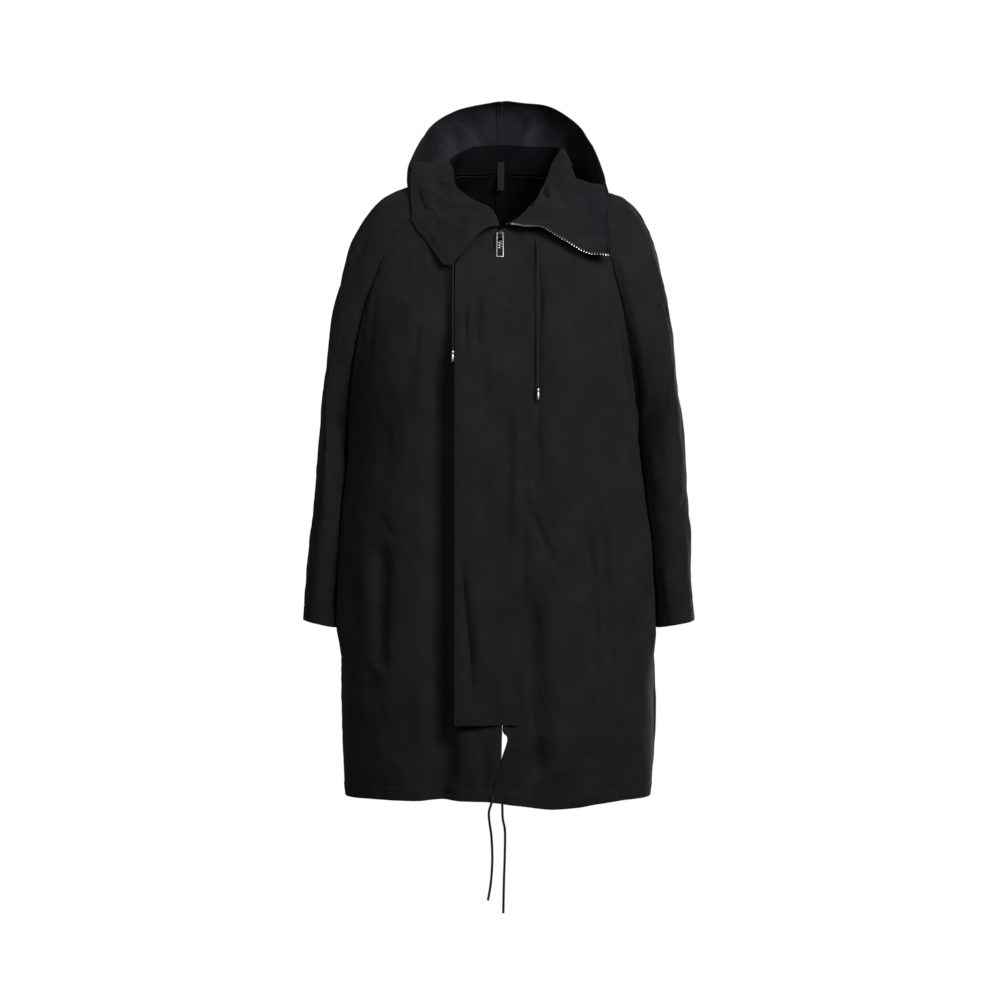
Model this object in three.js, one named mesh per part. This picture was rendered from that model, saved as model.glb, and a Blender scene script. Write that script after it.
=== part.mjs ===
// Hooded parka, hanging filled out as when it is worn. Millimetres, +Z up, the front faces -Y and
// the wearer's left side is +X. The origin is where the shoulders carry it, level with the neck.
import * as THREE from "three";

// Driving sizes
const CLOTH = 1.6; // one wall of shell cloth, turned edges included
const SEAM = 0.3; // room between two panels at a seam
const BEVEL = 0.45; // how far the inner side of a seam edge stands back
const HEM_Z = -990; // level of the hem at the centre front
const UNDERARM = 0.46; // how far down the panels the armhole closes, as a share of their rows
const FLAP = { topZ: -112, bottomZ: -868, stitchLift: 3, freeLift: 13 };
const ZIP = { width: 7, thick: 2.2, topZ: -95, bottomZ: -856 };
const SLIDER = { width: 9, length: 15, thick: 5, z: -86, tilt: 20 };
const PULL = { width: 12, length: 44, bar: 2, thick: 1.8 };
const CORD = { neck: 3, hem: 4, tip: 5, tipLength: 19 };
const LABEL = { left: -4, width: 11, topZ: 58, bottomZ: 11, topY: 90.9, bottomY: 92.6, thick: 1 };

const point = (x, y, z) => new THREE.Vector3(x, y, z);
const degrees = THREE.MathUtils.degToRad;
const smooth = THREE.MathUtils.smoothstep;
const mix = THREE.MathUtils.lerp;
const spread = (from, to, steps) => Array.from({ length: steps + 1 }, (_, i) => mix(from, to, i / steps));

// A smooth curve through each column of a table; at counts its rows, or is the value of the
// column named by along.
function reader(table, along) {
  const stations = table.map((row, i) => (along ? row[along] : i));
  const last = stations.length - 1;
  const slope = (name, i) => {
    const a = Math.max(0, i - 1);
    const b = Math.min(last, i + 1);
    return (table[b][name] - table[a][name]) / (stations[b] - stations[a]);
  };
  return (name, at) => {
    let i = 0;
    while (i < last - 1 && at > stations[i + 1]) i += 1;
    const width = stations[i + 1] - stations[i];
    const t = (at - stations[i]) / width;
    const s = 1 - t;
    return (
      table[i][name] * (1 + 2 * t) * s * s + slope(name, i) * width * t * s * s +
      table[i + 1][name] * t * t * (3 - 2 * t) + slope(name, i + 1) * width * t * t * (t - 1)
    );
  };
}

// The point of a cubic curve between p0 and p3.
function cubic(p0, p1, p2, p3, t) {
  const s = 1 - t;
  return p0.clone().multiplyScalar(s ** 3)
    .addScaledVector(p1, 3 * s * s * t)
    .addScaledVector(p2, 3 * s * t * t)
    .addScaledVector(p3, t ** 3);
}

// Unit normals of a grid of points, whose rows run down and whose columns run across.
function normals(grid, outward) {
  const rows = grid.length - 1;
  const columns = grid[0].length - 1;
  return grid.map((row, i) => row.map((_, j) => {
    const across = grid[i][Math.min(columns, j + 1)].clone().sub(grid[i][Math.max(0, j - 1)]);
    const down = grid[Math.min(rows, i + 1)][j].clone().sub(grid[Math.max(0, i - 1)][j]);
    return across.cross(down).normalize().multiplyScalar(outward);
  }));
}

// A closed wall: the grid is its outer face, and its inner face lies thick behind it.
function wall(grid, outward, thick = CLOTH) {
  const normal = normals(grid, outward);
  const inner = grid.map((row, i) => row.map((p, j) => p.clone().addScaledVector(normal[i][j], -thick)));
  const rows = grid.length - 1;
  const columns = grid[0].length - 1;
  for (const row of inner) {
    for (const [end, next] of [[0, 1], [columns, columns - 1]]) {
      row[end].add(row[next].clone().sub(row[end]).setLength(BEVEL));
    }
  }
  const inside = (rows + 1) * (columns + 1);
  const at = (i, j) => i * (columns + 1) + j;
  const faces = [];
  const face = (a, b, c) => faces.push(...(outward > 0 ? [a, b, c] : [a, c, b]));
  const rim = (p, q) => {
    face(q, p, p + inside);
    face(q, p + inside, q + inside);
  };
  for (let i = 0; i < rows; i += 1) {
    for (let j = 0; j < columns; j += 1) {
      const [a, b, c, d] = [at(i, j), at(i, j + 1), at(i + 1, j + 1), at(i + 1, j)];
      face(a, b, c);
      face(a, c, d);
      face(a + inside, c + inside, b + inside);
      face(a + inside, d + inside, c + inside);
    }
  }
  for (let j = 0; j < columns; j += 1) {
    rim(at(0, j), at(0, j + 1));
    rim(at(rows, j + 1), at(rows, j));
  }
  for (let i = 0; i < rows; i += 1) {
    rim(at(i + 1, 0), at(i, 0));
    rim(at(i, columns), at(i + 1, columns));
  }
  const geometry = new THREE.BufferGeometry();
  const positions = [...grid, ...inner].flat().flatMap((p) => [p.x, p.y, p.z]);
  geometry.setAttribute("position", new THREE.Float32BufferAttribute(positions, 3));
  geometry.setIndex(faces);
  return geometry;
}

// Cloth folds: each runs from (x, z) to (endX, endZ); height is outward, below 0 a trough.
const FOLDS = {
  frontRight: [
    { x: -86, z: -150, endX: -88, endZ: -1000, width: 13, height: -15 },
    { x: -122, z: -210, endX: -116, endZ: -960, width: 15, height: 7 },
    { x: -185, z: -575, endX: -190, endZ: -790, width: 11, height: -8 },
    { x: -214, z: -520, endX: -212, endZ: -760, width: 14, height: 4 },
    { x: -160, z: -300, endX: -160, endZ: -620, width: 20, height: 4 },
  ],
  frontLeft: [
    { x: 61, z: -110, endX: 58, endZ: -520, width: 8, height: -4 },
    { x: 92, z: -160, endX: 96, endZ: -700, width: 26, height: 6 },
    { x: 46, z: -640, endX: 62, endZ: -960, width: 13, height: -11 },
    { x: 80, z: -640, endX: 92, endZ: -970, width: 18, height: 7 },
    { x: 142, z: -540, endX: 156, endZ: -800, width: 9, height: -7 },
    { x: 170, z: -520, endX: 178, endZ: -780, width: 8, height: -6 },
  ],
  back: [
    { x: -150, z: -260, endX: -165, endZ: -1050, width: 22, height: -10 },
    { x: -70, z: -330, endX: -78, endZ: -1050, width: 24, height: 9 },
    { x: 62, z: -300, endX: 70, endZ: -1050, width: 22, height: 8 },
    { x: 128, z: -280, endX: 146, endZ: -1050, width: 20, height: -11 },
    { x: 190, z: -480, endX: 196, endZ: -1050, width: 16, height: 6 },
  ],
};

// How far the folds of one list push a point of the cloth outward.
function folded(folds, p) {
  return folds.reduce((sum, fold) => {
    const t = (fold.z - p.z) / (fold.z - fold.endZ);
    if (t <= 0 || t >= 1) return sum;
    const aside = (p.x - mix(fold.x, fold.endX, t)) / fold.width;
    return sum + fold.height * Math.exp(-aside * aside) * smooth(t, 0, 0.16) * (1 - smooth(t, 0.9, 1));
  }, 0);
}

// Front panels, a row for each level from neckline to hem: the middle of the coat and the
// direction in which the cloth meets its side edge, in degrees from sideways towards the back.
const FRONT = [
  { down: 0, midZ: -74, midY: -103, turn: 44 },
  { down: 0.05, midZ: -104, midY: -116, turn: 34 },
  { down: 0.1, midZ: -140, midY: -129, turn: 28 },
  { down: 0.16, midZ: -185, midY: -139, turn: 34 },
  { down: 0.22, midZ: -235, midY: -146, turn: 42 },
  { down: 0.28, midZ: -290, midY: -150, turn: 48 },
  { down: 0.34, midZ: -345, midY: -153, turn: 56 },
  { down: 0.4, midZ: -400, midY: -154, turn: 68 },
  { down: 0.46, midZ: -455, midY: -155, turn: 84 },
  { down: 0.55, midZ: -540, midY: -157, turn: 96 },
  { down: 0.7, midZ: -690, midY: -160, turn: 96 },
  { down: 0.8, midZ: -795, midY: -162, turn: 92 },
  { down: 0.93, midZ: -925, midY: -163, turn: 90 },
  { down: 1, midZ: HEM_Z, midY: -158, turn: 90 },
];

// Back panels in the same way; vent is how far each centre edge stands off the middle.
const BACK = [
  { down: 0, midZ: 36, midY: 97, turn: -42, vent: 0 },
  { down: 0.05, midZ: 5, midY: 115, turn: -34, vent: 0 },
  { down: 0.1, midZ: -30, midY: 130, turn: -30, vent: 0 },
  { down: 0.16, midZ: -80, midY: 142, turn: -32, vent: 0 },
  { down: 0.22, midZ: -145, midY: 150, turn: -38, vent: 0 },
  { down: 0.28, midZ: -215, midY: 154, turn: -46, vent: 0 },
  { down: 0.34, midZ: -290, midY: 153, turn: -56, vent: 0 },
  { down: 0.4, midZ: -370, midY: 150, turn: -70, vent: 0 },
  { down: 0.46, midZ: -445, midY: 148, turn: -84, vent: 0 },
  { down: 0.55, midZ: -535, midY: 147, turn: -92, vent: 0 },
  { down: 0.7, midZ: -690, midY: 149, turn: -93, vent: 0 },
  { down: 0.8, midZ: -800, midY: 151, turn: -91, vent: 1 },
  { down: 0.93, midZ: -930, midY: 153, turn: -90, vent: 20 },
  { down: 1, midZ: -992, midY: 150, turn: -90, vent: 26 },
];

// Edges shared by two panels: the front and the back of each armhole, then the side seam.
// leftX is on the wearer's left, rightX on the right, both counted outward.
const ARMHOLE_FRONT = [
  { down: 0, leftX: 80, rightX: 80, y: -54, z: -24 },
  { down: 0.05, leftX: 106, rightX: 108, y: -76, z: -42 },
  { down: 0.1, leftX: 136, rightX: 142, y: -95, z: -66 },
  { down: 0.16, leftX: 176, rightX: 184, y: -104, z: -112 },
  { down: 0.22, leftX: 196, rightX: 210, y: -101, z: -172 },
  { down: 0.28, leftX: 209, rightX: 228, y: -90, z: -232 },
  { down: 0.34, leftX: 219, rightX: 240, y: -70, z: -290 },
  { down: 0.4, leftX: 227, rightX: 248, y: -36, z: -352 },
  { down: 0.46, leftX: 232, rightX: 252, y: 22, z: -432 },
];
const ARMHOLE_BACK = [
  { down: 0, leftX: 74, rightX: 74, y: 66, z: 30 },
  { down: 0.05, leftX: 104, rightX: 106, y: 92, z: 6 },
  { down: 0.1, leftX: 136, rightX: 140, y: 112, z: -26 },
  { down: 0.16, leftX: 172, rightX: 180, y: 124, z: -84 },
  { down: 0.22, leftX: 192, rightX: 206, y: 124, z: -155 },
  { down: 0.28, leftX: 206, rightX: 225, y: 116, z: -225 },
  { down: 0.34, leftX: 217, rightX: 238, y: 100, z: -290 },
  { down: 0.4, leftX: 226, rightX: 247, y: 70, z: -356 },
  { down: 0.46, leftX: 232, rightX: 252, y: 22, z: -432 },
];
const SIDE_SEAM = [
  { down: 0.46, leftX: 232, rightX: 252, y: 22, z: -432 },
  { down: 0.55, leftX: 236, rightX: 254, y: 24, z: -525 },
  { down: 0.7, leftX: 247, rightX: 259, y: 22, z: -690 },
  { down: 0.8, leftX: 254, rightX: 263, y: 18, z: -797 },
  { down: 0.93, leftX: 254, rightX: 260, y: 15, z: -930 },
  { down: 1, leftX: 247, rightX: 253, y: 14, z: -996 },
];
const front = reader(FRONT, "down");
const back = reader(BACK, "down");
const armholeFront = reader(ARMHOLE_FRONT, "down");
const armholeBack = reader(ARMHOLE_BACK, "down");
const sideSeam = reader(SIDE_SEAM, "down");

// A point of the edge a body panel shares, face -1 for the front and 1 for the back.
function bodyEdge(side, face, down) {
  const armhole = face < 0 ? armholeFront : armholeBack;
  const seam = down <= UNDERARM ? armhole : sideSeam;
  return point(side * seam(side > 0 ? "leftX" : "rightX", down), seam("y", down), seam("z", down));
}

// The two front edges: closed on the zip, then parting above the hem with the right one in front.
const EDGES = [
  { depth: 60, leftX: 3.9, rightX: -3.9, leftY: 0, rightY: 0 },
  { depth: 860, leftX: 3.9, rightX: -3.9, leftY: 0, rightY: 0 },
  { depth: 872, leftX: 5, rightX: -3, leftY: 0, rightY: 0 },
  { depth: 886, leftX: 12, rightX: 3, leftY: 0, rightY: -1 },
  { depth: 904, leftX: 8, rightX: 3, leftY: 2, rightY: -3 },
  { depth: 918, leftX: 3, rightX: 2.5, leftY: 5, rightY: -4 },
  { depth: 940, leftX: -5, rightX: -3, leftY: 6, rightY: -4 },
  { depth: 965, leftX: -12, rightX: -11, leftY: 6, rightY: -4 },
  { depth: 1000, leftX: -20, rightX: -15, leftY: 6, rightY: -4 },
];
const edge = reader(EDGES, "depth");

// A row of a body panel: from start, square to the middle, to its side edge.
function bodyRow(start, end, side, turn, climb, across) {
  const span = end.distanceTo(start);
  const lead = start.clone().add(point(side * span * 0.5, 0, 0));
  const arrive = point(side * Math.cos(turn), Math.sin(turn), 0).multiplyScalar(span * 0.36);
  return cubic(start, lead, end.clone().sub(arrive).add(point(0, 0, -climb)), end, across);
}

const DIP = { x: 100, width: 70, depth: 9 }; // the left front's hem hangs lower here
function frontForm(side, down, across) {
  const z = front("midZ", down);
  const word = side > 0 ? "left" : "right";
  const start = point(edge(`${word}X`, -z), front("midY", down) + edge(`${word}Y`, -z), z);
  const end = bodyEdge(side, -1, down);
  const p = bodyRow(start, end, side, degrees(front("turn", down)), (end.z - z) * 0.12, across);
  if (side > 0) p.z -= DIP.depth * Math.exp(-(((p.x - DIP.x) / DIP.width) ** 2)) * smooth(down, 0.9, 1);
  return p;
}

function backForm(side, down, across) {
  const start = point(side * Math.max(0, back("vent", down)), back("midY", down), back("midZ", down));
  return bodyRow(start, bodyEdge(side, 1, down), side, degrees(back("turn", down)), 0, across);
}

// Sleeves above the underarm: the line over the shoulder and down the outer arm, how far each
// half leans out from it, and the direction and strength with which it meets the armhole.
const SHOULDER = [
  { down: 0, leftX: 93, rightX: 93, y: 8, z: 25, bulge: 26, frontAim: 222, backAim: 138, hold: 24 },
  { down: 0.05, leftX: 125, rightX: 125, y: 12, z: 16, bulge: 44, frontAim: 215, backAim: 145, hold: 34 },
  { down: 0.1, leftX: 161, rightX: 159, y: 12, z: 3, bulge: 56, frontAim: 210, backAim: 150, hold: 38 },
  { down: 0.16, leftX: 204, rightX: 191, y: 12, z: -12, bulge: 62, frontAim: 206, backAim: 152, hold: 44 },
  { down: 0.22, leftX: 231, rightX: 215, y: 12, z: -38, bulge: 68, frontAim: 200, backAim: 158, hold: 46 },
  { down: 0.28, leftX: 254, rightX: 242, y: 12, z: -85, bulge: 80, frontAim: 188, backAim: 170, hold: 48 },
  { down: 0.34, leftX: 269, rightX: 259, y: 12, z: -155, bulge: 92, frontAim: 168, backAim: 190, hold: 52 },
  { down: 0.4, leftX: 285, rightX: 280, y: 12, z: -260, bulge: 106, frontAim: 140, backAim: 220, hold: 60 },
  { down: 0.46, leftX: 306, rightX: 301, y: 14, z: -420, bulge: 112, frontAim: 104, backAim: 256, hold: 100 },
];

// Below the underarm: the outer and the inner line of the sleeve, and half its depth.
const ARM = [
  { down: 0.46, leftX: 306, rightX: 301, y: 14, z: -420, leftIn: 232, rightIn: 252, inY: 22, inZ: -432, half: 84 },
  { down: 0.52, leftX: 307, rightX: 305, y: 15, z: -480, leftIn: 238, rightIn: 256, inY: 24, inZ: -484, half: 81 },
  { down: 0.64, leftX: 312, rightX: 312, y: 17, z: -560, leftIn: 245, rightIn: 260, inY: 25, inZ: -566, half: 75 },
  { down: 0.84, leftX: 318, rightX: 320, y: 20, z: -655, leftIn: 253, rightIn: 264, inY: 24, inZ: -662, half: 67 },
  { down: 1, leftX: 322, rightX: 325, y: 22, z: -709, leftIn: 257, rightIn: 266, inY: 24, inZ: -722, half: 62 },
];
const shoulder = reader(SHOULDER, "down");
const arm = reader(ARM, "down");

// A point of half a sleeve, face -1 for its front half; across runs from the outer line inward.
function sleeveForm(side, face, down, across) {
  const outer = side > 0 ? "leftX" : "rightX";
  if (down > UNDERARM) {
    const out = point(side * arm(outer, down), arm("y", down), arm("z", down));
    const inner = point(side * arm(side > 0 ? "leftIn" : "rightIn", down), arm("inY", down), arm("inZ", down));
    const lean = point(0, (face * arm("half", down) * 4) / 3, 0);
    return cubic(out, out.clone().add(lean), inner.clone().add(lean), inner, across);
  }
  const out = point(side * shoulder(outer, down), shoulder("y", down), shoulder("z", down));
  const lean = out.clone().add(point(0, face * shoulder("bulge", down), 0));
  const aim = degrees(shoulder(face < 0 ? "frontAim" : "backAim", down));
  const arrive = point(side * Math.cos(aim), Math.sin(aim), 0).multiplyScalar(shoulder("hold", down));
  const seam = bodyEdge(side, face, down);
  return cubic(out, lean, seam.clone().sub(arrive), seam, across);
}

// A panel's grid: the smooth form between its seams, pushed out by its folds.
function panel(form, levels, columns, folds, outward) {
  const grid = levels.map((down) => {
    const [first, last] = [0, 1].map((end) =>
      (SEAM / 2) * 0.02 / form(down, end).distanceTo(form(down, Math.abs(end - 0.02))));
    return spread(first, 1 - last, columns).map((across) => form(down, across));
  });
  const normal = normals(grid, outward);
  return grid.map((row, i) => row.map((p, j) => p.clone().addScaledVector(normal[i][j], folded(folds, p))));
}

const group = new THREE.Group();
const cloth = { color: 0x17181a, roughness: 0.9, metalness: 0 };
const metal = { color: 0xb9bbbd, roughness: 0.3, metalness: 1 };
const cordCloth = { color: 0x121315, roughness: 0.8, metalness: 0 };
const tape = { color: 0x2a2b2d, roughness: 0.6, metalness: 0.4 };

function add(name, geometry, look = cloth) {
  const mesh = new THREE.Mesh(geometry, new THREE.MeshStandardMaterial(look));
  mesh.name = name;
  group.add(mesh);
}

// Points of outer faces with their normals, which the pieces laid over them keep clear of
const under = [];
function cover(grid, outward) {
  const normal = normals(grid, outward);
  grid.forEach((row, i) => row.forEach((p, j) => under.push({ p: p.clone(), n: normal[i][j] })));
}

// Moves a point outward until it stands off the nearest covered face by gap.
function clear(p, gap, turns = 3) {
  let nearest = null;
  let least = Infinity;
  for (const sample of under) {
    const away = sample.p.distanceToSquared(p);
    if (away < least) [least, nearest] = [away, sample];
  }
  const stands = p.clone().sub(nearest.p).dot(nearest.n);
  if (stands >= gap || turns === 0) return p;
  return clear(p.addScaledVector(nearest.n, gap - stands), gap, turns - 1);
}

// Body and sleeve panels, each a wall whose first row is its neckline edge
const above = spread(0, UNDERARM, 11);
const backLevels = [...above, ...spread(UNDERARM, 1, 13).slice(1)];
const partingLevels = [0.881, 0.893, 0.911, 0.924, 0.947, 0.973, 1];
const frontLevels = [...above, ...spread(UNDERARM, 0.865, 9).slice(1), ...partingLevels];
const sleeveLevels = [...above, ...spread(UNDERARM, 1, 8).slice(1)];
const yoke = spread(0, 0.34, 30);
for (const [side, word, folds] of [[1, "left", FOLDS.frontLeft], [-1, "right", FOLDS.frontRight]]) {
  const frontPanel = (down, across) => frontForm(side, down, across);
  const backPanel = (down, across) => backForm(side, down, across);
  add(`front_${word}`, wall(panel(frontPanel, frontLevels, 12, folds, -side), -side));
  add(`back_${word}`, wall(panel(backPanel, backLevels, 10, FOLDS.back, side), side));
  cover(panel(frontPanel, yoke, 24, folds, -side), -side);
  cover(panel(backPanel, yoke, 24, FOLDS.back, side), side);
  for (const [face, half] of [[-1, "front"], [1, "back"]]) {
    const sleevePanel = (down, across) => sleeveForm(side, face, down, across);
    const outward = -side * face;
    add(`sleeve_${word}_${half}`, wall(panel(sleevePanel, sleeveLevels, 7, [], outward), outward));
    cover(panel(sleevePanel, yoke, 14, [], outward), outward);
  }
}

// Hood, hanging open behind the neck: stations from the centre back round to its front end.
// Each runs from the neckline (n) out and down to the bottom of the pouch (b) and up to the
// rim (r); swing and sink are how far out and down the cloth swings below the rim.
const HOOD = { outside: 2.5, gap: 3 };
const HOOD_LEFT = [
  { nx: 0, ny: 100, nz: 40, bx: 0, by: 182, bz: -130, rx: 2, ry: 130, rz: 168, out: 50, swing: 112, sink: 18 },
  { nx: 46, ny: 92, nz: 37, bx: 64, by: 174, bz: -118, rx: 78, ry: 130, rz: 161, out: 46, swing: 92, sink: 18 },
  { nx: 76, ny: 69, nz: 34, bx: 114, by: 152, bz: -86, rx: 127, ry: 105, rz: 128, out: 44, swing: 66, sink: 20 },
  { nx: 92, ny: 42, nz: 31, bx: 150, by: 132, bz: -44, rx: 150, ry: 75, rz: 92, out: 40, swing: 36, sink: 20 },
  { nx: 96, ny: 8, nz: 29, bx: 163, by: 80, bz: -1, rx: 165, ry: 40, rz: 55, out: 34, swing: 18, sink: 14 },
  { nx: 96, ny: -27, nz: 5, bx: 169, by: 8, bz: 8, rx: 174, ry: 3, rz: 17, out: 30, swing: 4, sink: 5 },
  { nx: 83, ny: -57, nz: -20, bx: 172, by: -41, bz: -17, rx: 177, ry: -42, rz: -13, out: 26, swing: 3, sink: 3 },
  { nx: 68, ny: -76, nz: -36, bx: 168, by: -88, bz: -68, rx: 174, ry: -88, rz: -62, out: 22, swing: 3, sink: 3 },
  { nx: 56, ny: -88, nz: -46, bx: 170, by: -114, bz: -100, rx: 177, ry: -116, rz: -96, out: 20, swing: 3, sink: 3 },
];
const HOOD_RIGHT = [
  { nx: 0, ny: 100, nz: 40, bx: 0, by: 182, bz: -130, rx: -2, ry: 130, rz: 168, out: 50, swing: 112, sink: 18 },
  { nx: 46, ny: 92, nz: 37, bx: 62, by: 174, bz: -118, rx: 68, ry: 130, rz: 154, out: 46, swing: 92, sink: 18 },
  { nx: 76, ny: 69, nz: 34, bx: 108, by: 152, bz: -86, rx: 109, ry: 105, rz: 128, out: 44, swing: 66, sink: 20 },
  { nx: 92, ny: 42, nz: 31, bx: 142, by: 132, bz: -42, rx: 133, ry: 75, rz: 94, out: 40, swing: 36, sink: 20 },
  { nx: 96, ny: 8, nz: 29, bx: 152, by: 80, bz: 2, rx: 148, ry: 40, rz: 58, out: 34, swing: 18, sink: 14 },
  { nx: 96, ny: -27, nz: 5, bx: 136, by: 8, bz: 14, rx: 143, ry: 3, rz: 18, out: 22, swing: 2, sink: 2 },
  { nx: 83, ny: -57, nz: -20, bx: 120, by: -41, bz: -4, rx: 126, ry: -42, rz: -6, out: 16, swing: 0, sink: 0 },
  { nx: 68, ny: -76, nz: -36, bx: 106, by: -74, bz: -34, rx: 112, ry: -77, rz: -37, out: 12, swing: 0, sink: 0 },
  { nx: 56, ny: -88, nz: -46, bx: 88, by: -98, bz: -64, rx: 94, ry: -101, rz: -67, out: 10, swing: 0, sink: 0 },
];

// A point of half the hood: along counts the stations, t runs from the neckline to the rim.
function hoodForm(side, read, along, t) {
  const [neck, bottom, rim] = ["n", "b", "r"].map((p) =>
    point(side * read(`${p}x`, along), read(`${p}y`, along), read(`${p}z`, along)));
  const away = point(bottom.x - neck.x, bottom.y - neck.y, 0).normalize();
  neck.addScaledVector(away, HOOD.outside);
  if (t < 0.5) {
    const lead = neck.clone().addScaledVector(away, read("out", along));
    const arrive = bottom.clone().addScaledVector(away, -bottom.distanceTo(neck) * 0.1);
    return cubic(neck, lead, arrive, bottom, t * 2);
  }
  const swing = rim.clone().addScaledVector(away, read("swing", along));
  swing.z -= read("sink", along);
  const lead = bottom.clone().addScaledVector(away, rim.distanceTo(bottom) * 0.12);
  return cubic(bottom, lead, swing, rim, t * 2 - 1);
}
function hoodGrid(side, table, rows, columns) {
  const read = reader(table);
  return spread(0, 1, rows).map((t) => spread(0, table.length - 1, columns).map((along) => {
    const p = clear(hoodForm(side, read, along, t), HOOD.gap);
    if (along === 0) p.x = side * SEAM * 0.5 + read("rx", 0) * side * t;
    return p;
  }));
}
const hoodSides = [[1, "left", HOOD_LEFT], [-1, "right", HOOD_RIGHT]];
hoodSides.forEach(([side, word, table]) => add(`hood_${word}`, wall(hoodGrid(side, table, 12, 14), -side)));
for (const [side, , table] of hoodSides) {
  const top = hoodGrid(side, table, 24, 40);
  const lift = normals(top, side);
  cover(top.map((row, i) => row.map((p, j) => p.clone().addScaledVector(lift[i][j], CLOTH))), side);
}

// Collar, open at the zip and rolled outward: stations from the left front edge round the back
// to the right front edge. Each rises from the neckline (n) to the roll (r), then falls (f);
// push is how far the falling part swells outward.
const COLLAR = [
  { nx: 6, ny: -101, nz: -70, rx: 9, ry: -108, rz: -68, fx: 177, fy: -136, fz: -117, push: 14 },
  { nx: 28, ny: -96, nz: -63, rx: 26, ry: -96, rz: -59, fx: 175, fy: -128, fz: -104, push: 12 },
  { nx: 51, ny: -82, nz: -49, rx: 48, ry: -74, rz: -36, fx: 164, fy: -116, fz: -88, push: 10 },
  { nx: 77, ny: -53, nz: -22, rx: 65, ry: -45, rz: -12, fx: 146, fy: -90, fz: -52, push: 8 },
  { nx: 90, ny: -26, nz: 3, rx: 80, ry: -16, rz: 24, fx: 135, fy: -58, fz: -14, push: 6 },
  { nx: 91, ny: -9, nz: 14, rx: 87, ry: 2, rz: 46, fx: 123, fy: -34, fz: 16, push: 4 },
  { nx: 90, ny: 9, nz: 27, rx: 96, ry: 16, rz: 64, fx: 117, fy: -8, fz: 40, push: 2 },
  { nx: 87, ny: 37, nz: 30, rx: 98, ry: 40, rz: 76, fx: 122, fy: 36, fz: 42, push: 0 },
  { nx: 72, ny: 64, nz: 33, rx: 86, ry: 74, rz: 82, fx: 110, fy: 80, fz: 34, push: 0 },
  { nx: 43, ny: 86, nz: 36, rx: 50, ry: 92, rz: 85, fx: 62, fy: 116, fz: 22, push: 0 },
  { nx: 0, ny: 95, nz: 39, rx: 4, ry: 98, rz: 88, fx: 4, fy: 126, fz: 16, push: 0 },
  { nx: -43, ny: 86, nz: 36, rx: -36, ry: 93, rz: 86, fx: -50, fy: 116, fz: 20, push: 0 },
  { nx: -72, ny: 64, nz: 33, rx: -60, ry: 72, rz: 75, fx: -92, fy: 92, fz: 30, push: 0 },
  { nx: -87, ny: 37, nz: 30, rx: -74, ry: 40, rz: 59, fx: -124, fy: 48, fz: 44, push: 2 },
  { nx: -90, ny: 9, nz: 28, rx: -78, ry: 6, rz: 38, fx: -142, fy: 4, fz: 46, push: 4 },
  { nx: -90, ny: -26, nz: 4, rx: -74, ry: -30, rz: 8, fx: -146, fy: -30, fz: 10, push: 4 },
  { nx: -77, ny: -53, nz: -22, rx: -62, ry: -50, rz: -10, fx: -144, fy: -64, fz: -32, push: 6 },
  { nx: -51, ny: -82, nz: -49, rx: -41, ry: -74, rz: -26, fx: -136, fy: -96, fz: -72, push: 8 },
  { nx: -30, ny: -95, nz: -62, rx: -18, ry: -90, rz: -38, fx: -116, fy: -124, fz: -99, push: 10 },
  { nx: -15, ny: -99, nz: -67, rx: -5, ry: -99, rz: -54, fx: -92, fy: -146, fz: -134, push: 14 },
  { nx: -5, ny: -101, nz: -70, rx: -1, ry: -107, rz: -71, fx: -80, fy: -150, fz: -138, push: 14 },
];
const collar = reader(COLLAR);
const ROLL = 0.36;
function collarForm(along, t) {
  const [neck, roll, fall] = ["n", "r", "f"].map((p) =>
    point(collar(`${p}x`, along), collar(`${p}y`, along), collar(`${p}z`, along)));
  const away = point(fall.x - roll.x, fall.y - roll.y, 0).normalize();
  const rise = roll.distanceTo(neck);
  if (t < ROLL) {
    const lead = neck.clone().lerp(roll, 0.4).addScaledVector(away, -rise * 0.08);
    return cubic(neck, lead, roll.clone().addScaledVector(away, -Math.min(8, rise * 0.3)), roll, t / ROLL);
  }
  const push = point(roll.x, roll.y, 0).setLength(collar("push", along) + 0.001);
  const lead = roll.clone().addScaledVector(away, Math.min(fall.distanceTo(roll) * 0.35, 40)).add(push);
  const arrive = fall.clone().lerp(roll, 0.33).add(push);
  const p = cubic(roll, lead, arrive, fall, (t - ROLL) / (1 - ROLL));
  return t > ROLL + 0.1 ? clear(p, CLOTH + 3) : p;
}
const collarRows = [...spread(0, ROLL, 3), ...spread(ROLL, 1, 6).slice(1)];
const collarGrid = collarRows.map((t) => spread(0, COLLAR.length - 1, 36).map((along) => collarForm(along, t)));
add("collar", wall(collarGrid, -1));

// Zip tape with the open row of teeth along the left edge of the collar
const TAPE = { gap: 0.3, width: 5.5, thick: 1.2, from: 0.42 };
const collarEdge = spread(TAPE.from, 0.99, 20).map((t) => {
  const rim = collarForm(0, t);
  const beyond = rim.clone().sub(collarForm(0.3, t)).normalize();
  return [TAPE.gap, TAPE.width].map((d) => rim.clone().addScaledVector(beyond, d));
});
add("zip_tape", wall(collarEdge, 1, TAPE.thick), tape);

// The smooth front at a given x and z, found by halving the rows and then the places on a row
function halve(low, high, over) {
  for (let i = 0; i < 18; i += 1) {
    const middle = (low + high) / 2;
    if (over(middle)) high = middle;
    else low = middle;
  }
  return (low + high) / 2;
}
function onFront(x, z) {
  const side = x < 0 ? -1 : 1;
  const place = (down) => halve(0, 0.9, (across) => Math.abs(frontForm(side, down, across).x) > Math.abs(x));
  const down = halve(0, 1, (middle) => frontForm(side, middle, place(middle)).z < z);
  return frontForm(side, down, place(down));
}

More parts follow.
